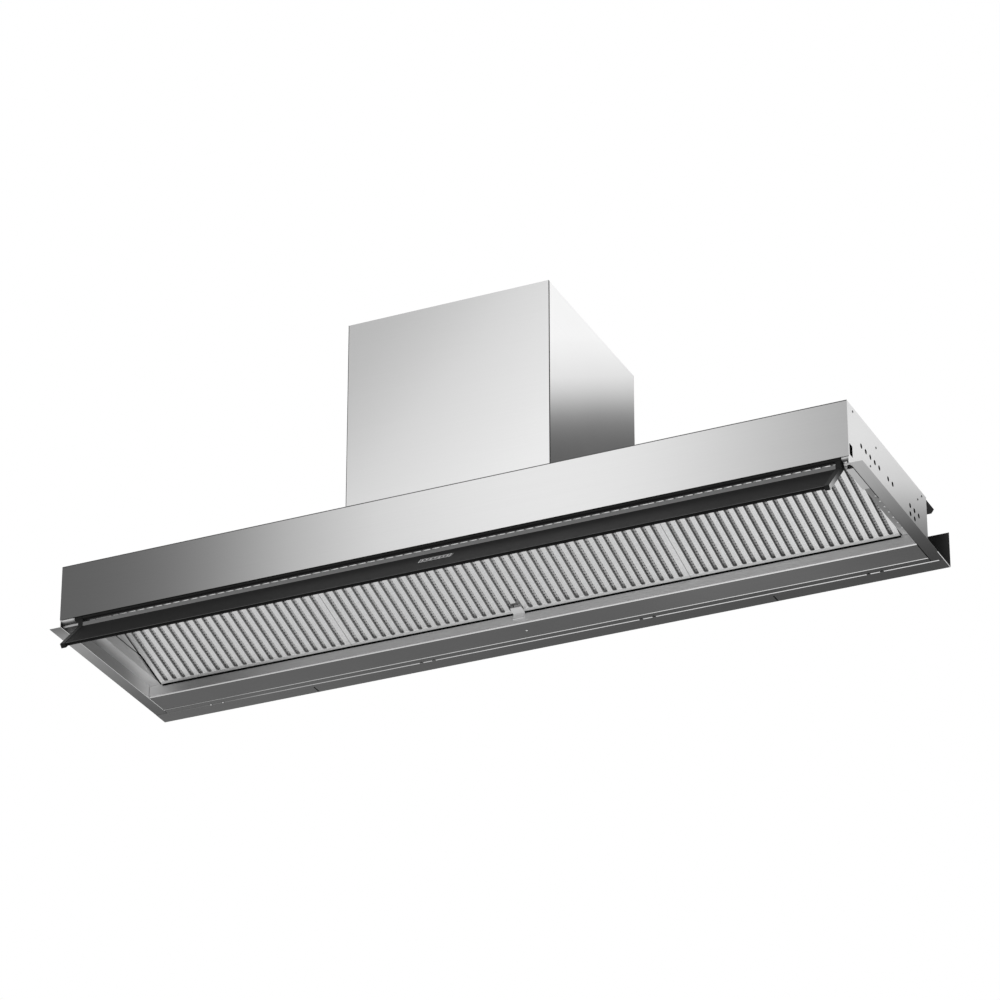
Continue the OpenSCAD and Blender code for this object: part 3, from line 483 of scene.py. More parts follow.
black_moulding = moulded("black_moulding", 26, 0.55, shine=0.2)
powder_coat = moulded("powder_coat", 20, 0.5, dimple=2500, shine=0.25)
grey_lip_paint = moulded("grey_lip_paint", 128, 0.5, dimple=2500, spread=0.1)
touch_black = moulded("touch_black", 62, 0.4, dimple=900, relief=0.05, spread=0.1)
latch_grey = moulded("latch_grey", 254, 0.35, dimple=1200, relief=0.1, spread=0.05)
motor_paint = moulded("motor_paint", 60, 0.45)
wheel_plastic = moulded("wheel_plastic", 70, 0.5)
board_dark = moulded("board_dark", 60, 0.45)
lamp_white = moulded("lamp_white", 240, 0.4, relief=0.05, spread=0.03)
mark_white = moulded("mark_white", 240, 0.5, relief=0.05, spread=0.03)
# Dark joints, and the strips of painted shade, share this near-black.
joint_and_shade_dark = moulded("joint_and_shade_dark", 24, 0.6, shine=0.05)
print("plastics and paints ready")

# %% [markdown]
# The visor's glass carries painted shade that is darkest towards its lower edge; the band measures down its
# slope.
# Its end caps have one flank of painted light, which grows lighter towards the tip, and the glass's lower
# edge has a painted highlight.

# %% Finishes along the visor
VISOR_DOWN = (0, -0.7022, -0.7120)
HINGE_DOWN = VISOR_DOWN[1] * HINGE_Y + VISOR_DOWN[2] * HINGE_Z
visor_span = (VISOR_DOWN, HINGE_DOWN, HINGE_DOWN + 96 * MM)
visor_black_painted_shade = steel(
    "visor_black_painted_shade", [(0, 37), (0.4, 33), (1, 24)],
    visor_span, even(300), depth=0.05, rough=0.4, metal=0.0, shine=0.03, bump=0.02)
cap_flank_painted_light = steel(
    "cap_flank_painted_light", [(0, 26), (0.45, 44), (0.7, 150), (1, 215)],
    visor_span, even(900), depth=0.1, rough=0.5, metal=0.0, shine=0.2)
glass_edge_highlight = moulded("glass_edge_highlight", 84, 0.5, dimple=900, relief=0.05, spread=0.1)
print("visor finishes ready")

# %% [markdown]
# Every piece rides on a body and may stand for a node of the solids. A further
# finish can be given to the faces that pass a test on their place and direction.

# %% Helpers for pieces
slot_of = {s["node"]: s["material_slot"] for s in frame["record"]["subparts"]}

def body_of_node(node):
    for body, nodes in frame["record"]["behaviour"]["bodies"].items():
        if node in nodes:
            return body

def finish_piece(obj, body, mat, slot, *nodes):
    obj.data.materials.clear()
    obj.data.materials.append(mat)
    for poly in obj.data.polygons:
        poly.material_index = 0
    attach(obj, body)
    if nodes:
        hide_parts(*nodes)
    return obj

def also(piece, mat, test):
    piece.data.materials.append(mat)
    index = len(piece.data.materials) - 1
    for poly in piece.data.polygons:
        if test(poly.center, poly.normal):
            poly.material_index = index

def to_mesh(bm, name):
    mesh = bpy.data.meshes.new(name)
    bm.to_mesh(mesh)
    bm.free()
    return mesh

def from_mesh(mesh):
    bm = bmesh.new()
    bm.from_mesh(mesh)
    return bm

def add_box(bm, low, high):
    made = bmesh.ops.create_cube(bm, size=1.0)
    size = [b - a for a, b in zip(low, high)]
    middle = [(a + b) / 2 for a, b in zip(low, high)]
    place = Matrix.Translation(middle) @ Matrix.Diagonal((*size, 1))
    bmesh.ops.transform(bm, matrix=place, verts=made["verts"])

print("nodes with a slot:", len(slot_of))

# %% [markdown]
# A real sheet has edges that are slightly broken and catch a line of light. A copy of the solid
# is merged into one skin, gets a small bevel, and then stands for the solid.

# %% Softened copies of solids
SHARP = 0.6

def softened(node, mat, width=0.3 * MM, edge=None, where=None, bend=None):
    bm = from_mesh(frame["nodes"][node].data)
    bmesh.ops.remove_doubles(bm, verts=bm.verts, dist=1e-6)
    bmesh.ops.dissolve_limit(bm, angle_limit=0.002, verts=bm.verts, edges=bm.edges)
    for face in bm.faces:
        face.material_index = 0
    sharp = [e for e in bm.edges if len(e.link_faces) == 2 and e.calc_face_angle(0) > SHARP]
    if where:
        sharp = [e for e in sharp if where((e.verts[0].co + e.verts[1].co) / 2)]
    if sharp:
        bmesh.ops.bevel(bm, geom=sharp, offset=width, segments=1, affect="EDGES", clamp_overlap=True,
                        material=1 if edge else -1)
    # Faces that pass the bend test take the edge finish, a painted highlight on the bend.
    if bend:
        for face in bm.faces:
            if bend(face.normal):
                face.material_index = 1
    mesh = to_mesh(bm, "soft_" + node)
    index = [poly.material_index for poly in mesh.polygons]
    piece = finish_piece(add_object("soft_" + node, mesh), body_of_node(node), mat, slot_of[node], node)
    if edge:
        piece.data.materials.append(edge)
        for poly, k in zip(piece.data.polygons, index):
            poly.material_index = k
    return piece

print("softening ready")

# %% [markdown]
# Some edges have a finish of their own. The top edge of the fascia and the left edge of the fan
# box are cut edges and stay dark, and the bends of the rear box and of the rear lip carry a painted
# highlight.

# %% Soft edges on the outer sheets
def no_edge(at):
    return False

def fascia_top(at):
    return at.z > BODY_TOP - MM and at.y < FRONT_Y + 0.5 * MM

def box_left_edge(at):
    return at.x < MM - BOX_X and at.y < 0.5 * MM - BOX_Y

def low_front_bend(normal):
    return normal.y < -0.25 and normal.z < -0.25

def front_wall(at, n):
    return n.y < -0.9 and at.y < 120 * MM

softened("front_fascia", fascia_steel, 1.1 * MM, joint_and_shade_dark, fascia_top)
softened("fan_box_front", front_box_steel, 0.6 * MM, joint_and_shade_dark, box_left_edge)
rear_box = softened("rear_liner", rear_box_steel, edge=bend_highlight_steel, where=no_edge, bend=low_front_bend)
also(rear_box, rear_wall_steel, front_wall)
softened("rear_plate", trim_steel, edge=bend_highlight_steel, where=no_edge, bend=low_front_bend)
for node, mat in (("fan_box_right", side_box_steel), ("fan_box_left", side_box_steel),
                  ("right_trim", right_trim_steel), ("left_trim", left_trim_steel)):
    softened(node, mat)
print("soft edges on the outer sheets")

# %% [markdown]
# The side plates are punched. The walls of the holes and the space behind them carry painted shade,
# and the lower edge of the left plate has a painted highlight while that of the right one doesn't. The
# cheeks' outer faces carry painted shade too.

# %% Side plates, cheeks and visor ends
def in_hole(at, n):
    inside = TRIM_Z + 4 * MM < at.z < BODY_TOP - 4 * MM and FRONT_Y + 4 * MM < at.y < REAR_Y - 3 * MM
    return inside and abs(n.x) < 0.9

def lower_edge(at, n):
    return n.z < -0.5 and at.z < TRIM_Z + 2 * MM

for s, side, foot, cheek in ((-1, "left", bend_highlight_steel, left_cheek_steel),
                             (1, "right", right_trim_steel, right_liner_steel)):
    plate_piece = softened(side + "_side_plate", body_side_steel, 0.2 * MM)
    also(plate_piece, inner_wall_painted_light, lambda at, n: n.x * s < -0.9)
    also(plate_piece, painted_inside_shade, in_hole)
    also(plate_piece, foot, lower_edge)
    cheek_piece = softened(side + "_cheek", cheek, where=no_edge)
    also(cheek_piece, painted_inside_shade, lambda at, n: n.x * s > 0.5)
glass = softened("visor_glass", visor_black_painted_shade, 0.5 * MM, glass_edge_highlight,
                 lambda at: at.z < HINGE_Z - 62 * MM and at.y < HINGE_Y - 60 * MM)
also(glass, joint_and_shade_dark, lambda at, n: n.y < -0.65 and n.z < -0.65)
caps = softened("visor_end_caps", black_moulding, 0.4 * MM)
also(caps, cap_flank_painted_light, lambda at, n: abs(n.x) > 0.9 and n.x * at.x > 0)
print("side plates and visor ends")

# %% [markdown]
# The other solids keep their meshes and only take a finish.

# %% Finishes on the solids that stay
# The front liner takes the painted inside shade, for the dark behind the visor.
finishes = (
    (plain_steel, "top_plate fan_box_back fan_box_lid"), (trim_steel, "rear_angle"),
    (clip_steel, "angle_clips"), (left_liner_steel, "left_liner"), (right_liner_steel, "right_liner"),
    (cover_steel, "left_liner_cover right_liner_cover"), (painted_inside_shade, "front_liner"),
    (joint_and_shade_dark, "rear_spacers"), (lamp_white, "lamp_diffuser"), (latch_grey, "filter_latch"),
    (bright_steel, "filter_hinge_rod motor_shaft"),
    (filter_steel, "left_filter_frame mid_filter_frame right_filter_frame"),
    (zinc_steel, "lamp_housing rod_hangers duct_collar front_damper rear_damper"),
    (zinc_steel, "fan_scroll fan_scroll_sides motor_bracket"), (rod_steel, "visor_rest_pins"),
    (powder_coat, "visor_barrel visor_tray"), (grey_lip_paint, "visor_lip"), (touch_black, "touch_panel"),
    (board_dark, "touch_board"), (motor_paint, "fan_motor"), (wheel_plastic, "fan_wheel"),
    (black_moulding, "filter_catches control_box"))
for mat, nodes in finishes:
    for node in nodes.split():
        mesh = frame["nodes"][node].data
        mesh.materials.clear()
        mesh.materials.append(mat)
print("finished solids:", sum(len(nodes.split()) for mat, nodes in finishes))

# %% [markdown]
# The filters lie in a plane that slopes down to the rear. Their pieces are made flat, in a frame
# of their own with y down the slope and z away from the face, and then laid into the hood.

# %% Filter sizes and their sloping frame
TILT = math.radians(16.9)
FILTER_LEN = 223.02 * MM
FILTER_FRONT = (0, -103.891 * MM, -396.567 * MM)
PITCH = 17.5539 * MM
OUTER_W = 379.164 * MM
MID_W = 642.472 * MM
OUTER_X = 510.818 * MM
PANEL_GAP = 0.8 * MM
FACE_T = 5 * MM
RIM = 8.3 * MM
MESH_T = 1 * MM
in_filter = Matrix.Translation(FILTER_FRONT) @ Matrix.Rotation(-TILT, 4, "X")
to_filter = in_filter.inverted()
FILTER_NORMAL = in_filter.to_3x3() @ Vector((0, 0, 1))
panels = (("left", -OUTER_X, OUTER_W, 21), ("mid", 0.0, MID_W, 36), ("right", OUTER_X, OUTER_W, 21))
print("slots:", sum(panel[3] for panel in panels))

# %% [markdown]
# Repeated shapes are made with Geometry Nodes. Running a tree on an object turns the result into
# a plain mesh and takes the object away.
# The first tree repeats one tile on a grid of points. Its inputs are the counts, the grid's width
# and length and the finish. Doubles are merged, so neighbouring tiles share their edges.

# %% Geometry Nodes tree for a field of tiles
MERGE = 0.02 * MM

def evaluated_mesh(obj):
    graph = bpy.context.evaluated_depsgraph_get()
    return bpy.data.meshes.new_from_object(obj.evaluated_get(graph), depsgraph=graph)

def run_tree(obj, tree, **values):
    mod = obj.modifiers.new("nodes", "NODES")
    mod.node_group = tree
    ids = {s.name: s.identifier for s in tree.interface.items_tree if s.in_out == "INPUT"}
    for label, value in values.items():
        mod[ids[label.replace("_", " ")]] = value
    mesh = evaluated_mesh(obj)
    bpy.data.objects.remove(obj)
    return mesh

tile_field, tile_in, tile_out = new_group(
    "tile_field",
    [("Geometry", "Geometry", None), ("Count X", "Int", 2), ("Count Y", "Int", 2),
     ("Width", "Float", 0.1), ("Length", "Float", 0.1), ("Finish", "Material", None)],
    [("Geometry", "Geometry")], kind="GeometryNodeTree")
grid = grow(tile_field, "GeometryNodeMeshGrid", Size_X=tile_in["Width"], Size_Y=tile_in["Length"],
            Vertices_X=tile_in["Count X"], Vertices_Y=tile_in["Count Y"])
spread = grow(tile_field, "GeometryNodeInstanceOnPoints", Points=grid, Instance=tile_in["Geometry"])
real = grow(tile_field, "GeometryNodeRealizeInstances", Geometry=spread)
merged = grow(tile_field, "GeometryNodeMergeByDistance", Geometry=real, Distance=MERGE)
painted = grow(tile_field, "GeometryNodeSetMaterial", Geometry=merged, Material=tile_in["Finish"])
feed(tile_field, tile_out["Geometry"], painted)
print("tree:", tile_field.name)

# %% [markdown]
# The backing of each filter is a punched sheet. Its tile is a small rectangle with a six-sided
# hole, so a sheet of thousands of holes stays light. The tile has an upper and a lower skin and
# the wall of the hole; the rim of the whole sheet is closed afterwards. Five tiles make one pitch
# of the slots, so every slot shows the same two rows of holes. The middle sheet has a window
# behind the latch.

# %% Punched sheet
HOLES_PER_PITCH = 5
HOLE_ROWS = 30
HOLE_R = 1.15 * MM
HOLE_STRETCH = 1.3
WINDOW_TILES = 3

def punched_tile(px, py, r, t):
    x, y = px / 2, py / 2
    outer = [(x, 0), (x, y), (-x, y), (-x, 0), (-x, -y), (x, -y)]
    turns = [math.tau * k / 6 for k in range(6)]
    hole = [(r * math.cos(a), HOLE_STRETCH * r * math.sin(a)) for a in turns]
    verts = [(x, y, z) for z in (0, t) for ring in (outer, hole) for (x, y) in ring]
    faces = []
    for k in range(6):
        n = (k + 1) % 6
        faces.append((k, 6 + k, 6 + n, n))
        faces.append((12 + k, 12 + n, 18 + n, 18 + k))
        faces.append((6 + k, 18 + k, 18 + n, 6 + n))
    mesh = bpy.data.meshes.new("punched_tile")
    mesh.from_pydata(verts, [], faces)
    return mesh

def close_rim(mesh):
    bm = from_mesh(mesh)
    bmesh.ops.remove_doubles(bm, verts=bm.verts, dist=MERGE)
    rim = [e for e in bm.edges if len(e.link_faces) == 1]
    bmesh.ops.bridge_loops(bm, edges=rim)
    bmesh.ops.recalc_face_normals(bm, faces=bm.faces)
    left = sum(1 for e in bm.edges if len(e.link_faces) != 2)
    bm.to_mesh(mesh)
    bm.free()
    return left

def cut_window(mesh, half_w, y_from):
    bm = from_mesh(mesh)
    lost = []
    for face in bm.faces:
        middle = face.calc_center_median()
        if abs(middle.x) < half_w and middle.y > y_from:
            lost.append(face)
    bmesh.ops.delete(bm, geom=lost, context="FACES")
    bm.to_mesh(mesh)
    bm.free()

for side, x, w, slots in panels:
    sheet_w = w - PANEL_GAP - 2 * RIM
    sheet_l = FILTER_LEN - 2 * RIM
    px = PITCH / HOLES_PER_PITCH
    py = sheet_l / HOLE_ROWS
    nx = 2 * math.floor(sheet_w / px / 2) + slots % 2
    tile = add_object("tile", punched_tile(px, py, HOLE_R, MESH_T))
    mesh = run_tree(tile, tile_field, Count_X=nx, Count_Y=HOLE_ROWS, Width=px * (nx - 1),
                    Length=py * (HOLE_ROWS - 1), Finish=mesh_steel)
    if side == "mid":
        cut_window(mesh, WINDOW_TILES * px, sheet_l / 2 - WINDOW_TILES * py)
    open_edges = close_rim(mesh)
    mesh.transform(in_filter @ Matrix.Translation((x, FILTER_LEN / 2, FACE_T)))
    piece = finish_piece(add_object(side + "_punched_sheet", mesh), side + "_filter", mesh_steel,
                         "mesh_metal", side + "_filter_mesh")
    print(piece.name, "holes", nx * HOLE_ROWS, "faces", len(mesh.polygons), "open edges", open_edges)

# %% [markdown]
# The slotted face is a thick sheet with long rounded slots. One tile is a slot with a rolled
# edge, a wall and the sheet around it. Each is a ring of points: round the slot four arcs, and
# round the sheet a rectangle with as many points.

# %% Tile with one slot
SLOT_W = 7 * MM
SLOT_FRONT = 13 * MM
SLOT_REAR = 6.5 * MM
SLOT_R = 2 * MM
EDGE_W = 0.7 * MM
EDGE_D = 0.6 * MM
STEPS = 4

def slot_ring(grown, y0, y1, z, shift):
    r = SLOT_R + grown
    x, low, high = SLOT_W / 2 + grown - r, y0 - grown + r, y1 + grown - r
    ring = []
    for cx, cy, a0 in ((x, high, 0), (-x, high, 90), (-x, low, 180), (x, low, 270)):
        for k in range(STEPS + 1):
            a = math.radians(a0 + 90 * k / STEPS)
            ring.append((cx + shift + r * math.cos(a), cy + r * math.sin(a), z))
    return ring

def box_ring(w, y0, y1, z, ring):
    spots = []
    for corner, (sx, y) in enumerate(((1, y1), (-1, y1), (-1, y0), (1, y0))):
        first, last = (0, STEPS) if corner % 2 == 0 else (STEPS, 0)
        for k in range(STEPS + 1):
            near = ring[corner * (STEPS + 1) + k]
            spots.append((near[0] if k == last else sx * w / 2, near[1] if k == first else y, z))
    return spots

def slotted_tile(shift):
    y0, y1 = SLOT_FRONT - FILTER_LEN / 2, FILTER_LEN / 2 - SLOT_REAR
    wide = slot_ring(EDGE_W, y0, y1, 0, shift)
    low = slot_ring(0, y0, y1, EDGE_D, shift)
    high = slot_ring(0, y0, y1, FACE_T, shift)
    bottom = box_ring(PITCH, -FILTER_LEN / 2, FILTER_LEN / 2, 0, wide)
    top = box_ring(PITCH, -FILTER_LEN / 2, FILTER_LEN / 2, FACE_T, high)
    rings = [bottom, wide, low, high, top]
    n = len(low)
    verts = [v for ring in rings for v in ring]
    faces = [(r * n + k, r * n + (k + 1) % n, (r + 1) * n + (k + 1) % n, (r + 1) * n + k)
             for r in range(len(rings) - 1) for k in range(n)]
    mesh = bpy.data.meshes.new("slotted_tile")
    mesh.from_pydata(verts, [], faces)
    return mesh

print("points round a slot:", 4 * (STEPS + 1))

# %% [markdown]
# The same tree repeats the tile across each filter, and the two outer edges are then moved to the
# filter's full width. The left and middle faces are punched a little to the left. The middle face
# has a finger recess, which is cut out with a block.

# %% Slotted faces
SLOT_SHIFT = {"left": -0.6 * MM, "mid": -0.6 * MM, "right": 0}
RECESS_W = 10 * MM
RECESS_LEN = 17 * MM
RECESS_Y = 207.4 * MM
RIM_BAND = 8 * MM

def widen(mesh, half_tiles, half_width):
    co = np.empty(len(mesh.vertices) * 3)
    mesh.vertices.foreach_get("co", co)
    co = co.reshape(-1, 3)
    edge = np.abs(np.abs(co[:, 0]) - half_tiles) < 1e-5
    co[edge, 0] = np.sign(co[edge, 0]) * half_width
    mesh.vertices.foreach_set("co", co.ravel())

def clean(mesh):
    bm = from_mesh(mesh)
    bmesh.ops.remove_doubles(bm, verts=bm.verts, dist=1e-6)
    bmesh.ops.dissolve_degenerate(bm, edges=bm.edges, dist=1e-7)
    bm.to_mesh(mesh)
    bm.free()

def cut_recess(piece):
    bm = bmesh.new()
    y = RECESS_Y - FILTER_LEN / 2
    add_box(bm, (-RECESS_W / 2, y - RECESS_LEN / 2, -3.5 * MM), (RECESS_W / 2, y + RECESS_LEN / 2, 8.5 * MM))
    cutter = add_object("cutter", to_mesh(bm, "cutter"))
    cut = piece.modifiers.new("recess", "BOOLEAN")
    cut.object = cutter
    cut.operation = "DIFFERENCE"
    cut.solver = "EXACT"
    mesh = evaluated_mesh(piece)
    piece.modifiers.clear()
    piece.data = mesh
    bpy.data.objects.remove(cutter)

def in_panel(at, x, w):
    spot = to_filter @ at
    return abs(spot.x - x) < w / 2 - MM and MM < spot.y < FILTER_LEN - MM

def rear_rim_highlight(at, n):
    return n @ FILTER_NORMAL < -0.9 and (to_filter @ at).y > FILTER_LEN - RIM_BAND

for side, x, w, slots in panels:
    tile = add_object("tile", slotted_tile(SLOT_SHIFT[side]))
    mesh = run_tree(tile, tile_field, Count_X=slots, Count_Y=1, Width=PITCH * (slots - 1), Length=0.0,
                    Finish=filter_steel)
    widen(mesh, slots * PITCH / 2, (w - PANEL_GAP) / 2)
    clean(mesh)
    open_edges = close_rim(mesh)
    piece = add_object(side + "_slotted_face", mesh)
    if side == "mid":
        cut_recess(piece)
    piece.data.transform(in_filter @ Matrix.Translation((x, FILTER_LEN / 2, 0)))
    finish_piece(piece, side + "_filter", filter_steel, "filter_steel", side + "_filter_face")
    # Slot walls take painted shade and the rear rim a painted highlight.
    also(piece, slot_wall_shade_steel, lambda at, n: abs(n @ FILTER_NORMAL) < 0.9 and in_panel(at, x, w))
    also(piece, rim_highlight_steel, rear_rim_highlight)
    print(piece.name, "slots", slots, "faces", len(piece.data.polygons), "open edges", open_edges)

# %% [markdown]
# Rivets and screws repeat, so a second tree places one head on each point of a list. Every point
# carries the direction in which its head looks out, and the tree turns the head to it.

# %% Geometry Nodes tree for heads
head_tree, heads_in, heads_out = new_group(
    "heads_on_points",
    [("Geometry", "Geometry", None), ("Head", "Object", None), ("Finish", "Material", None)],
    [("Geometry", "Geometry")], kind="GeometryNodeTree")
head = grow(head_tree, "GeometryNodeObjectInfo", out="Geometry", Object=heads_in["Head"])
way = head_tree.nodes.new("GeometryNodeInputNamedAttribute")
way.data_type = "FLOAT_VECTOR"
way.inputs["Name"].default_value = "out"
turn = head_tree.nodes.new("FunctionNodeAlignRotationToVector")
turn.axis = "Z"
head_tree.links.new(way.outputs["Attribute"], turn.inputs["Vector"])
spread = grow(head_tree, "GeometryNodeInstanceOnPoints", Instance=head,
              Points=heads_in["Geometry"], Rotation=turn.outputs["Rotation"])
real = grow(head_tree, "GeometryNodeRealizeInstances", Geometry=spread)
painted = grow(head_tree, "GeometryNodeSetMaterial", Geometry=real, Material=heads_in["Finish"])
feed(head_tree, heads_out["Geometry"], painted)
print("tree:", head_tree.name)

def points_mesh(spots):
    mesh = bpy.data.meshes.new("points")
    mesh.from_pydata([s[0] for s in spots], [], [])
    attr = mesh.attributes.new("out", "FLOAT_VECTOR", "POINT")
    for k, s in enumerate(spots):
        attr.data[k].vector = s[1]
    return mesh

# %% [markdown]
# A head is turned: a low dome over a short rim. A screw's dome also has a cross-shaped recess,
# pressed in by lowering the middle of the dome along two lines.

# %% Heads
HEAD_SIDES = 24
HEAD_RINGS = 5
RIM_SHARE = 0.35

def round_spots(r, count):
    return [(r * math.cos(math.tau * k / count), r * math.sin(math.tau * k / count)) for k in range(count)]

def press_cross(bm, r, h):
    for v in bm.verts:
        reach = math.hypot(v.co.x, v.co.y)
        if v.co.z > h * 0.5 and reach < r * 0.62 and min(abs(v.co.x), abs(v.co.y)) < r * 0.16:
            v.co.z -= h * 0.45

def dome_mesh(r, h, cross=False):
    rises = [math.radians(90 * k / HEAD_RINGS) for k in range(1, HEAD_RINGS)]
    dome = [(r * math.cos(a), h * (RIM_SHARE + (1 - RIM_SHARE) * math.sin(a))) for a in rises]
    bm = bmesh.new()
    loops = []
    for pr, pz in [(r, 0), (r, h * RIM_SHARE)] + dome:
        loops.append([bm.verts.new((x, y, pz)) for x, y in round_spots(pr, HEAD_SIDES)])
    tip = bm.verts.new((0, 0, h))
    base = bm.verts.new((0, 0, 0))
    for k in range(HEAD_SIDES):
        n = (k + 1) % HEAD_SIDES
        for a, b in zip(loops, loops[1:]):
            bm.faces.new((a[k], a[n], b[n], b[k]))
        bm.faces.new((loops[-1][k], loops[-1][n], tip))
        bm.faces.new((loops[0][n], loops[0][k], base))
    if cross:
        press_cross(bm, r, h)
    return to_mesh(bm, "head")

def row_of_heads(name, spots, head, mat, *nodes):
    source = add_object("head", head)
    carrier = add_object("points", points_mesh(spots))
    mesh = run_tree(carrier, head_tree, Head=source, Finish=mat)
    bpy.data.objects.remove(source)
    finish_piece(add_object(name, mesh), "housing", mat, "zinc_steel", *nodes)
    print(name, len(spots), "heads")

print("head helpers ready")

# %% [markdown]
# A row of seven rivets holds the right ledge. Five screws sit on each side plate, at places
# counted from the front and from the top, and one holds the rear box.

# %% Rivets under the right ledge and screws on the body
DOWN, UP, REARWARD = (0, 0, -1), (0, 0, 1), (0, 1, 0)
RIVET_X = WALL_X - LEDGE_W + 9 * MM
RIVET_FIRST = 169 * MM
RIVET_STEP = 21 * MM
SIDE_SCREWS = [(27.6, 8.6), (134.2, 23.7), (103.2, 72.7), (334, 24.6), (355.2, 8.7)]
small_screw = (2.0 * MM, 0.8 * MM, True)

rivet_spots = [((RIVET_X, FRONT_Y + RIVET_FIRST + RIVET_STEP * k, LEDGE_Z), DOWN) for k in range(7)]
row_of_heads("ledge_rivets", rivet_spots, dome_mesh(1.9 * MM, 0.8 * MM), light_rivet, "liner_rivets")
screw_spots = [((s * HALF_W, FRONT_Y + a * MM, BODY_TOP - b * MM), (s, 0, 0))
               for s in (-1, 1) for a, b in SIDE_SCREWS]
row_of_heads("side_screws", screw_spots, dome_mesh(*small_screw), dark_screw_steel, "body_screws")
row_of_heads("rear_box_screw", [((0, REAR_Y - 28 * MM, TRIM_Z), DOWN)], dome_mesh(*small_screw), bright_steel)

# %% [markdown]
# Screws hold the fan box's rear and lid, the collar's foot, the top plate and the rear plate.
# The photograph's view hides them, but from behind and above the hood would look unbuilt.

# %% Screws of the fan box, the top plate and the rear plate
BACK_SCREW_X = 182 * MM
LID_SCREW_Y = 178 * MM
COLLAR_Y = 56.06 * MM
COLLAR_SCREW_R = 82.5 * MM
COLLAR_SCREWS = 8
spots = []
for z in (-20, -105, -190, -275, -350):
    spots += [((s * BACK_SCREW_X, BOX_Y, z * MM), REARWARD) for s in (-1, 1)]
for x in (-175, -60, 60, 175):
    spots += [((x * MM, s * LID_SCREW_Y, 0), UP) for s in (-1, 1)]
for k in range(COLLAR_SCREWS):
    a = math.tau * (k + 0.5) / COLLAR_SCREWS
    x, y = COLLAR_SCREW_R * math.cos(a), COLLAR_Y + COLLAR_SCREW_R * math.sin(a)
    spots.append(((x, y, SHEET), UP))
for x in (-690, -460, -230, 230, 460, 690):
    spots += [((x * MM, y, BODY_TOP), UP) for y in (FRONT_Y + 12 * MM, REAR_Y - 10 * MM)]
for z in (-385, -440):
    spots += [((x * MM, REAR_Y, z * MM), REARWARD) for x in (-600, -300, 0, 300, 600)]
row_of_heads("panel_screws", spots, dome_mesh(3.2 * MM, 1.6 * MM, True), bright_steel)

# %% [markdown]
# The hinge shafts are turned parts. A lathe profile with broken edges and a groove is swept
# round the hinge line; both poles are closed. The profile starts at the side plate and is given
# in millimetres, and the neck is as long as the gap beside the visor.

# %% Turned shafts
SHAFT_SIDES = 48
FOOT_R, NECK_R, PIN_R = 6.8, 5.5, 3.0
PIN_LEN = 22

def turned(name, profile):
    bm = bmesh.new()
    loops = []
    for x, r in profile:
        loops.append([bm.verts.new((x, HINGE_Y + y, HINGE_Z + z)) for y, z in round_spots(r, SHAFT_SIDES)])
    for a, b in zip(loops, loops[1:]):
        for k in range(SHAFT_SIDES):
            n = (k + 1) % SHAFT_SIDES
            bm.faces.new((a[k], b[k], b[n], a[n]))
    bm.faces.new(loops[0])
    bm.faces.new(reversed(loops[-1]))
    bmesh.ops.recalc_face_normals(bm, faces=bm.faces)
    mesh = to_mesh(bm, name)
    for poly in mesh.polygons:
        poly.use_smooth = True
    mesh.set_sharp_from_angle(angle=math.radians(35))
    return mesh

def shaft_profile(gap):
    foot = [(0, FOOT_R - 0.3), (0.3, FOOT_R), (1.7, FOOT_R), (2.0, FOOT_R - 0.3), (2.0, NECK_R)]
    groove = [(gap - 3.4, NECK_R), (gap - 3.1, NECK_R - 0.5), (gap - 2.3, NECK_R - 0.5), (gap - 2.0, NECK_R)]
    shoulder = [(gap - 0.8, NECK_R), (gap - 0.4, NECK_R - 0.4), (gap - 0.4, PIN_R)]
    pin = [(gap + PIN_LEN - 0.4, PIN_R), (gap + PIN_LEN, PIN_R - 0.4)]
    return [(x * MM, r * MM) for x, r in foot + groove + shoulder + pin]

for side, gap, s in (("left", 26.3, 1), ("right", 13.3, -1)):
    name = "turned_shaft_" + side
    mesh = turned(name, [(s * (x - WALL_X), r) for x, r in shaft_profile(gap)])
    finish_piece(add_object(name, mesh), "housing", shaft_painted_shading, "zinc_steel", "visor_shaft_" + side)
    print("shaft", side, "gap", gap)

# %% [markdown]
# The touch keys are flat printed marks on the strip: a thin frame and seven plain marks made of
# bars. They are thin plates in the strip's surface, with places in millimetres on the visor.

# %% Touch marks
VISOR_TILT = math.radians(45.4)
in_visor = Matrix.Translation((0, HINGE_Y, HINGE_Z)) @ Matrix.Rotation(VISOR_TILT - math.pi, 4, "X")
TOUCH_Y = 39.6
TOUCH_Z = 10.1
MARK_T = 0.1
LINE = 1.0
FRAME_X = (-30.4, 27.6)
FRAME_Y = (0.4, 15.6)
KEY_FIRST, KEY_STEP, KEY_HALF = -24.5, 7.7, 2.3

def plate(bm, x0, x1, y0, y1):
    low = (x0, TOUCH_Y + y0, TOUCH_Z - MARK_T / 2)
    high = (x1, TOUCH_Y + y1, TOUCH_Z + MARK_T / 2)
    add_box(bm, [v * MM for v in low], [v * MM for v in high])

bm = bmesh.new()
for y in (FRAME_Y[0], FRAME_Y[1] - LINE):
    plate(bm, *FRAME_X, y, y + LINE)
for x in (FRAME_X[0], FRAME_X[1] - LINE):
    plate(bm, x, x + LINE, FRAME_Y[0] + LINE, FRAME_Y[1] - LINE)
for k in range(7):
    x = KEY_FIRST + KEY_STEP * k
    plate(bm, x - KEY_HALF, x + KEY_HALF, 5.0, 6.2)
    if k % 2 == 0:
        plate(bm, x - KEY_HALF, x + KEY_HALF, 9.8, 11.0)
    plate(bm, x - 0.6, x + 0.6, 6.2, 9.8)
marks = to_mesh(bm, "touch_marks")
marks.transform(in_visor)
finish_piece(add_object("touch_marks", marks), "visor", mark_white, "dark_glass")
print("touch marks", len(marks.polygons))

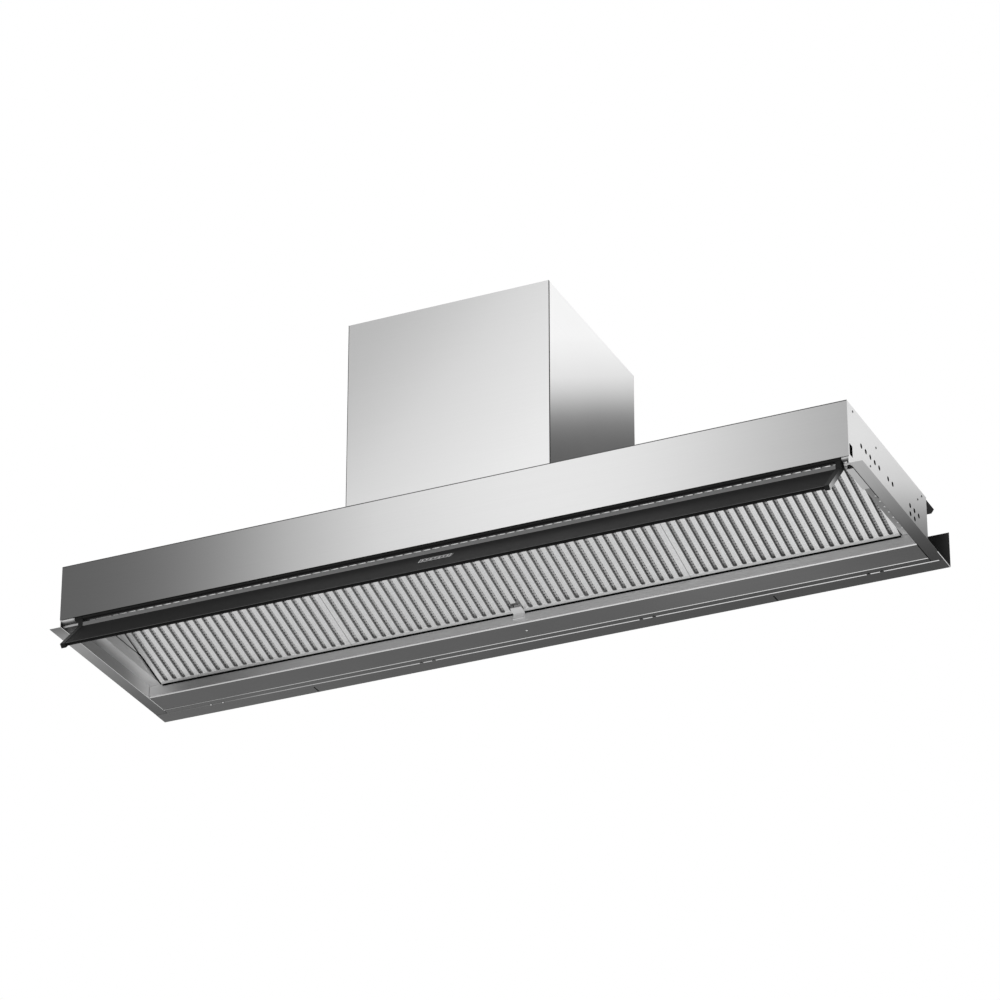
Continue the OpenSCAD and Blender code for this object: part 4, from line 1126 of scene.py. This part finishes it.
# %% [markdown]
# Folded sheets leave fine lines where they meet: dark where a joint stays open, and a painted highlight where
# a bend catches the light. Two black strips are painted shade, in the gap behind the filters and under the
# right ledge.
# Each is a thin strip with three spans, along x, y and z. A span is given
# in millimetres from a place, and the strip rides on the body of its sheet.

# %% Strips for joints, cut edges, painted highlights and painted shade
dark = (joint_and_shade_dark, "black_plastic")
cut_edge = (edge_steel, "satin_steel")
seam = (seam_highlight_steel, "satin_steel")
bend_highlight = (bend_highlight_steel, "satin_steel")

def span(low, high, place=0):
    return (place + low * MM, place + high * MM)

def strip(name, xs, ys, zs, mat, slot, body="housing", lay=Matrix()):
    bm = bmesh.new()
    add_box(bm, *zip(xs, ys, zs))
    mesh = to_mesh(bm, name)
    mesh.transform(lay)
    finish_piece(add_object(name, mesh), body, mat, slot)

box_height = (BODY_TOP, 0)
strip("box_joint_left", span(-0.15, 0.5, -BOX_X), span(0.3, 4, -BOX_Y), box_height, *dark)
strip("box_joint_right", span(-0.5, 0.15, BOX_X), span(0.3, 4, -BOX_Y), box_height, *dark)
# Painted shade: a black strip fills the open gap behind the filters.
strip("filter_gap", span(-700, 700), span(113.3, 113.6), span(-3.8, -0.1, LEDGE_Z), *dark)
# Painted shade: a black plate under the right ledge darkens the space behind the visor's right end.
strip("front_shade", span(712.6, 726.4), span(-188, -147.4), span(-0.9, 0, LEDGE_Z), *dark)
for k, ys in enumerate((span(-195, -70), span(113.5, 168.5))):
    strip("side_joint_%d" % k, span(-1.1, 0.3, HALF_W), ys, span(-0.08, 0.2, TRIM_Z), *dark)
strip("fascia_edge", (-HALF_W, HALF_W), span(-0.05, 0.3, FRONT_Y), span(-1.6, 0, BODY_TOP), *cut_edge)
strip("fan_box_edge", span(0, 1.2, -BOX_X), span(-0.05, 0.3, -BOX_Y), box_height, *cut_edge)
# Painted highlight along the right trim's outer edge.
strip("trim_edge", span(-1, -0.1, TRIM_HALF), span(152, 216.4), span(-0.05, 0.3, TRIM_Z), *bend_highlight)
# Painted highlight along the rear hem.
strip("rear_hem", (-HALF_W, HALF_W - 1.5 * MM), span(167.6, 169.2), span(-0.12, 0.1, TRIM_Z), *seam)
print("joints and cut edges ready")

# %% [markdown]
# The rear seam runs between the lip and the rear angle, and the clips' feet interrupt it, two for
# each clip. Its bright pieces are a painted highlight and reach from one foot to the next.

# %% Rear seam
CLIP_SHARES = (-0.861, -0.288, 0.288, 0.861)
FOOT_GAP = 24 * MM
FOOT_HALF = 3.5 * MM
PAST_END = 13 * MM
feet = [share * HALF_W + s * FOOT_GAP / 2 for share in CLIP_SHARES for s in (-1, 1)]
stops = [-HALF_W] + [foot + d for foot in feet for d in (-FOOT_HALF, FOOT_HALF)] + [HALF_W + PAST_END]
for k, xs in enumerate(zip(stops[::2], stops[1::2])):
    strip("rear_seam_%d" % k, xs, span(182.8, 185.6), span(-0.1, 0.2, TRIM_Z), *seam)
print("pieces of the rear seam:", len(stops) // 2)

# %% [markdown]
# The last strips move with the filters, so they are made in the filters' sloping frame: a turned
# lip along the left filter's side, which is narrow where it swings past the cover plate, a dark
# seal behind it, and an apron on the latch that closes the finger recess from above, with painted shade in
# its middle.

# %% Strips that move with the filters
for k, (y0, y1, out) in enumerate(((2, 58, 701.4), (58, 84, 700.7), (84, 138, 701.4))):
    strip("filter_side_lip_%d" % k, span(-out, -700.05), span(y0, y1), span(0.02, 4),
          filter_steel, "filter_steel", "left_filter", in_filter)
strip("filter_side_seal", span(-702.6, -699.6), (145 * MM, FILTER_LEN), span(-0.1, 0.3),
      *dark, "left_filter", in_filter)
strip("latch_apron", span(-13, 13), span(192, 214.4), span(6.4, 7),
      apron_shade_steel, "latch_plastic", body_of_node("filter_latch"), in_filter)
print("strips on the filters ready")
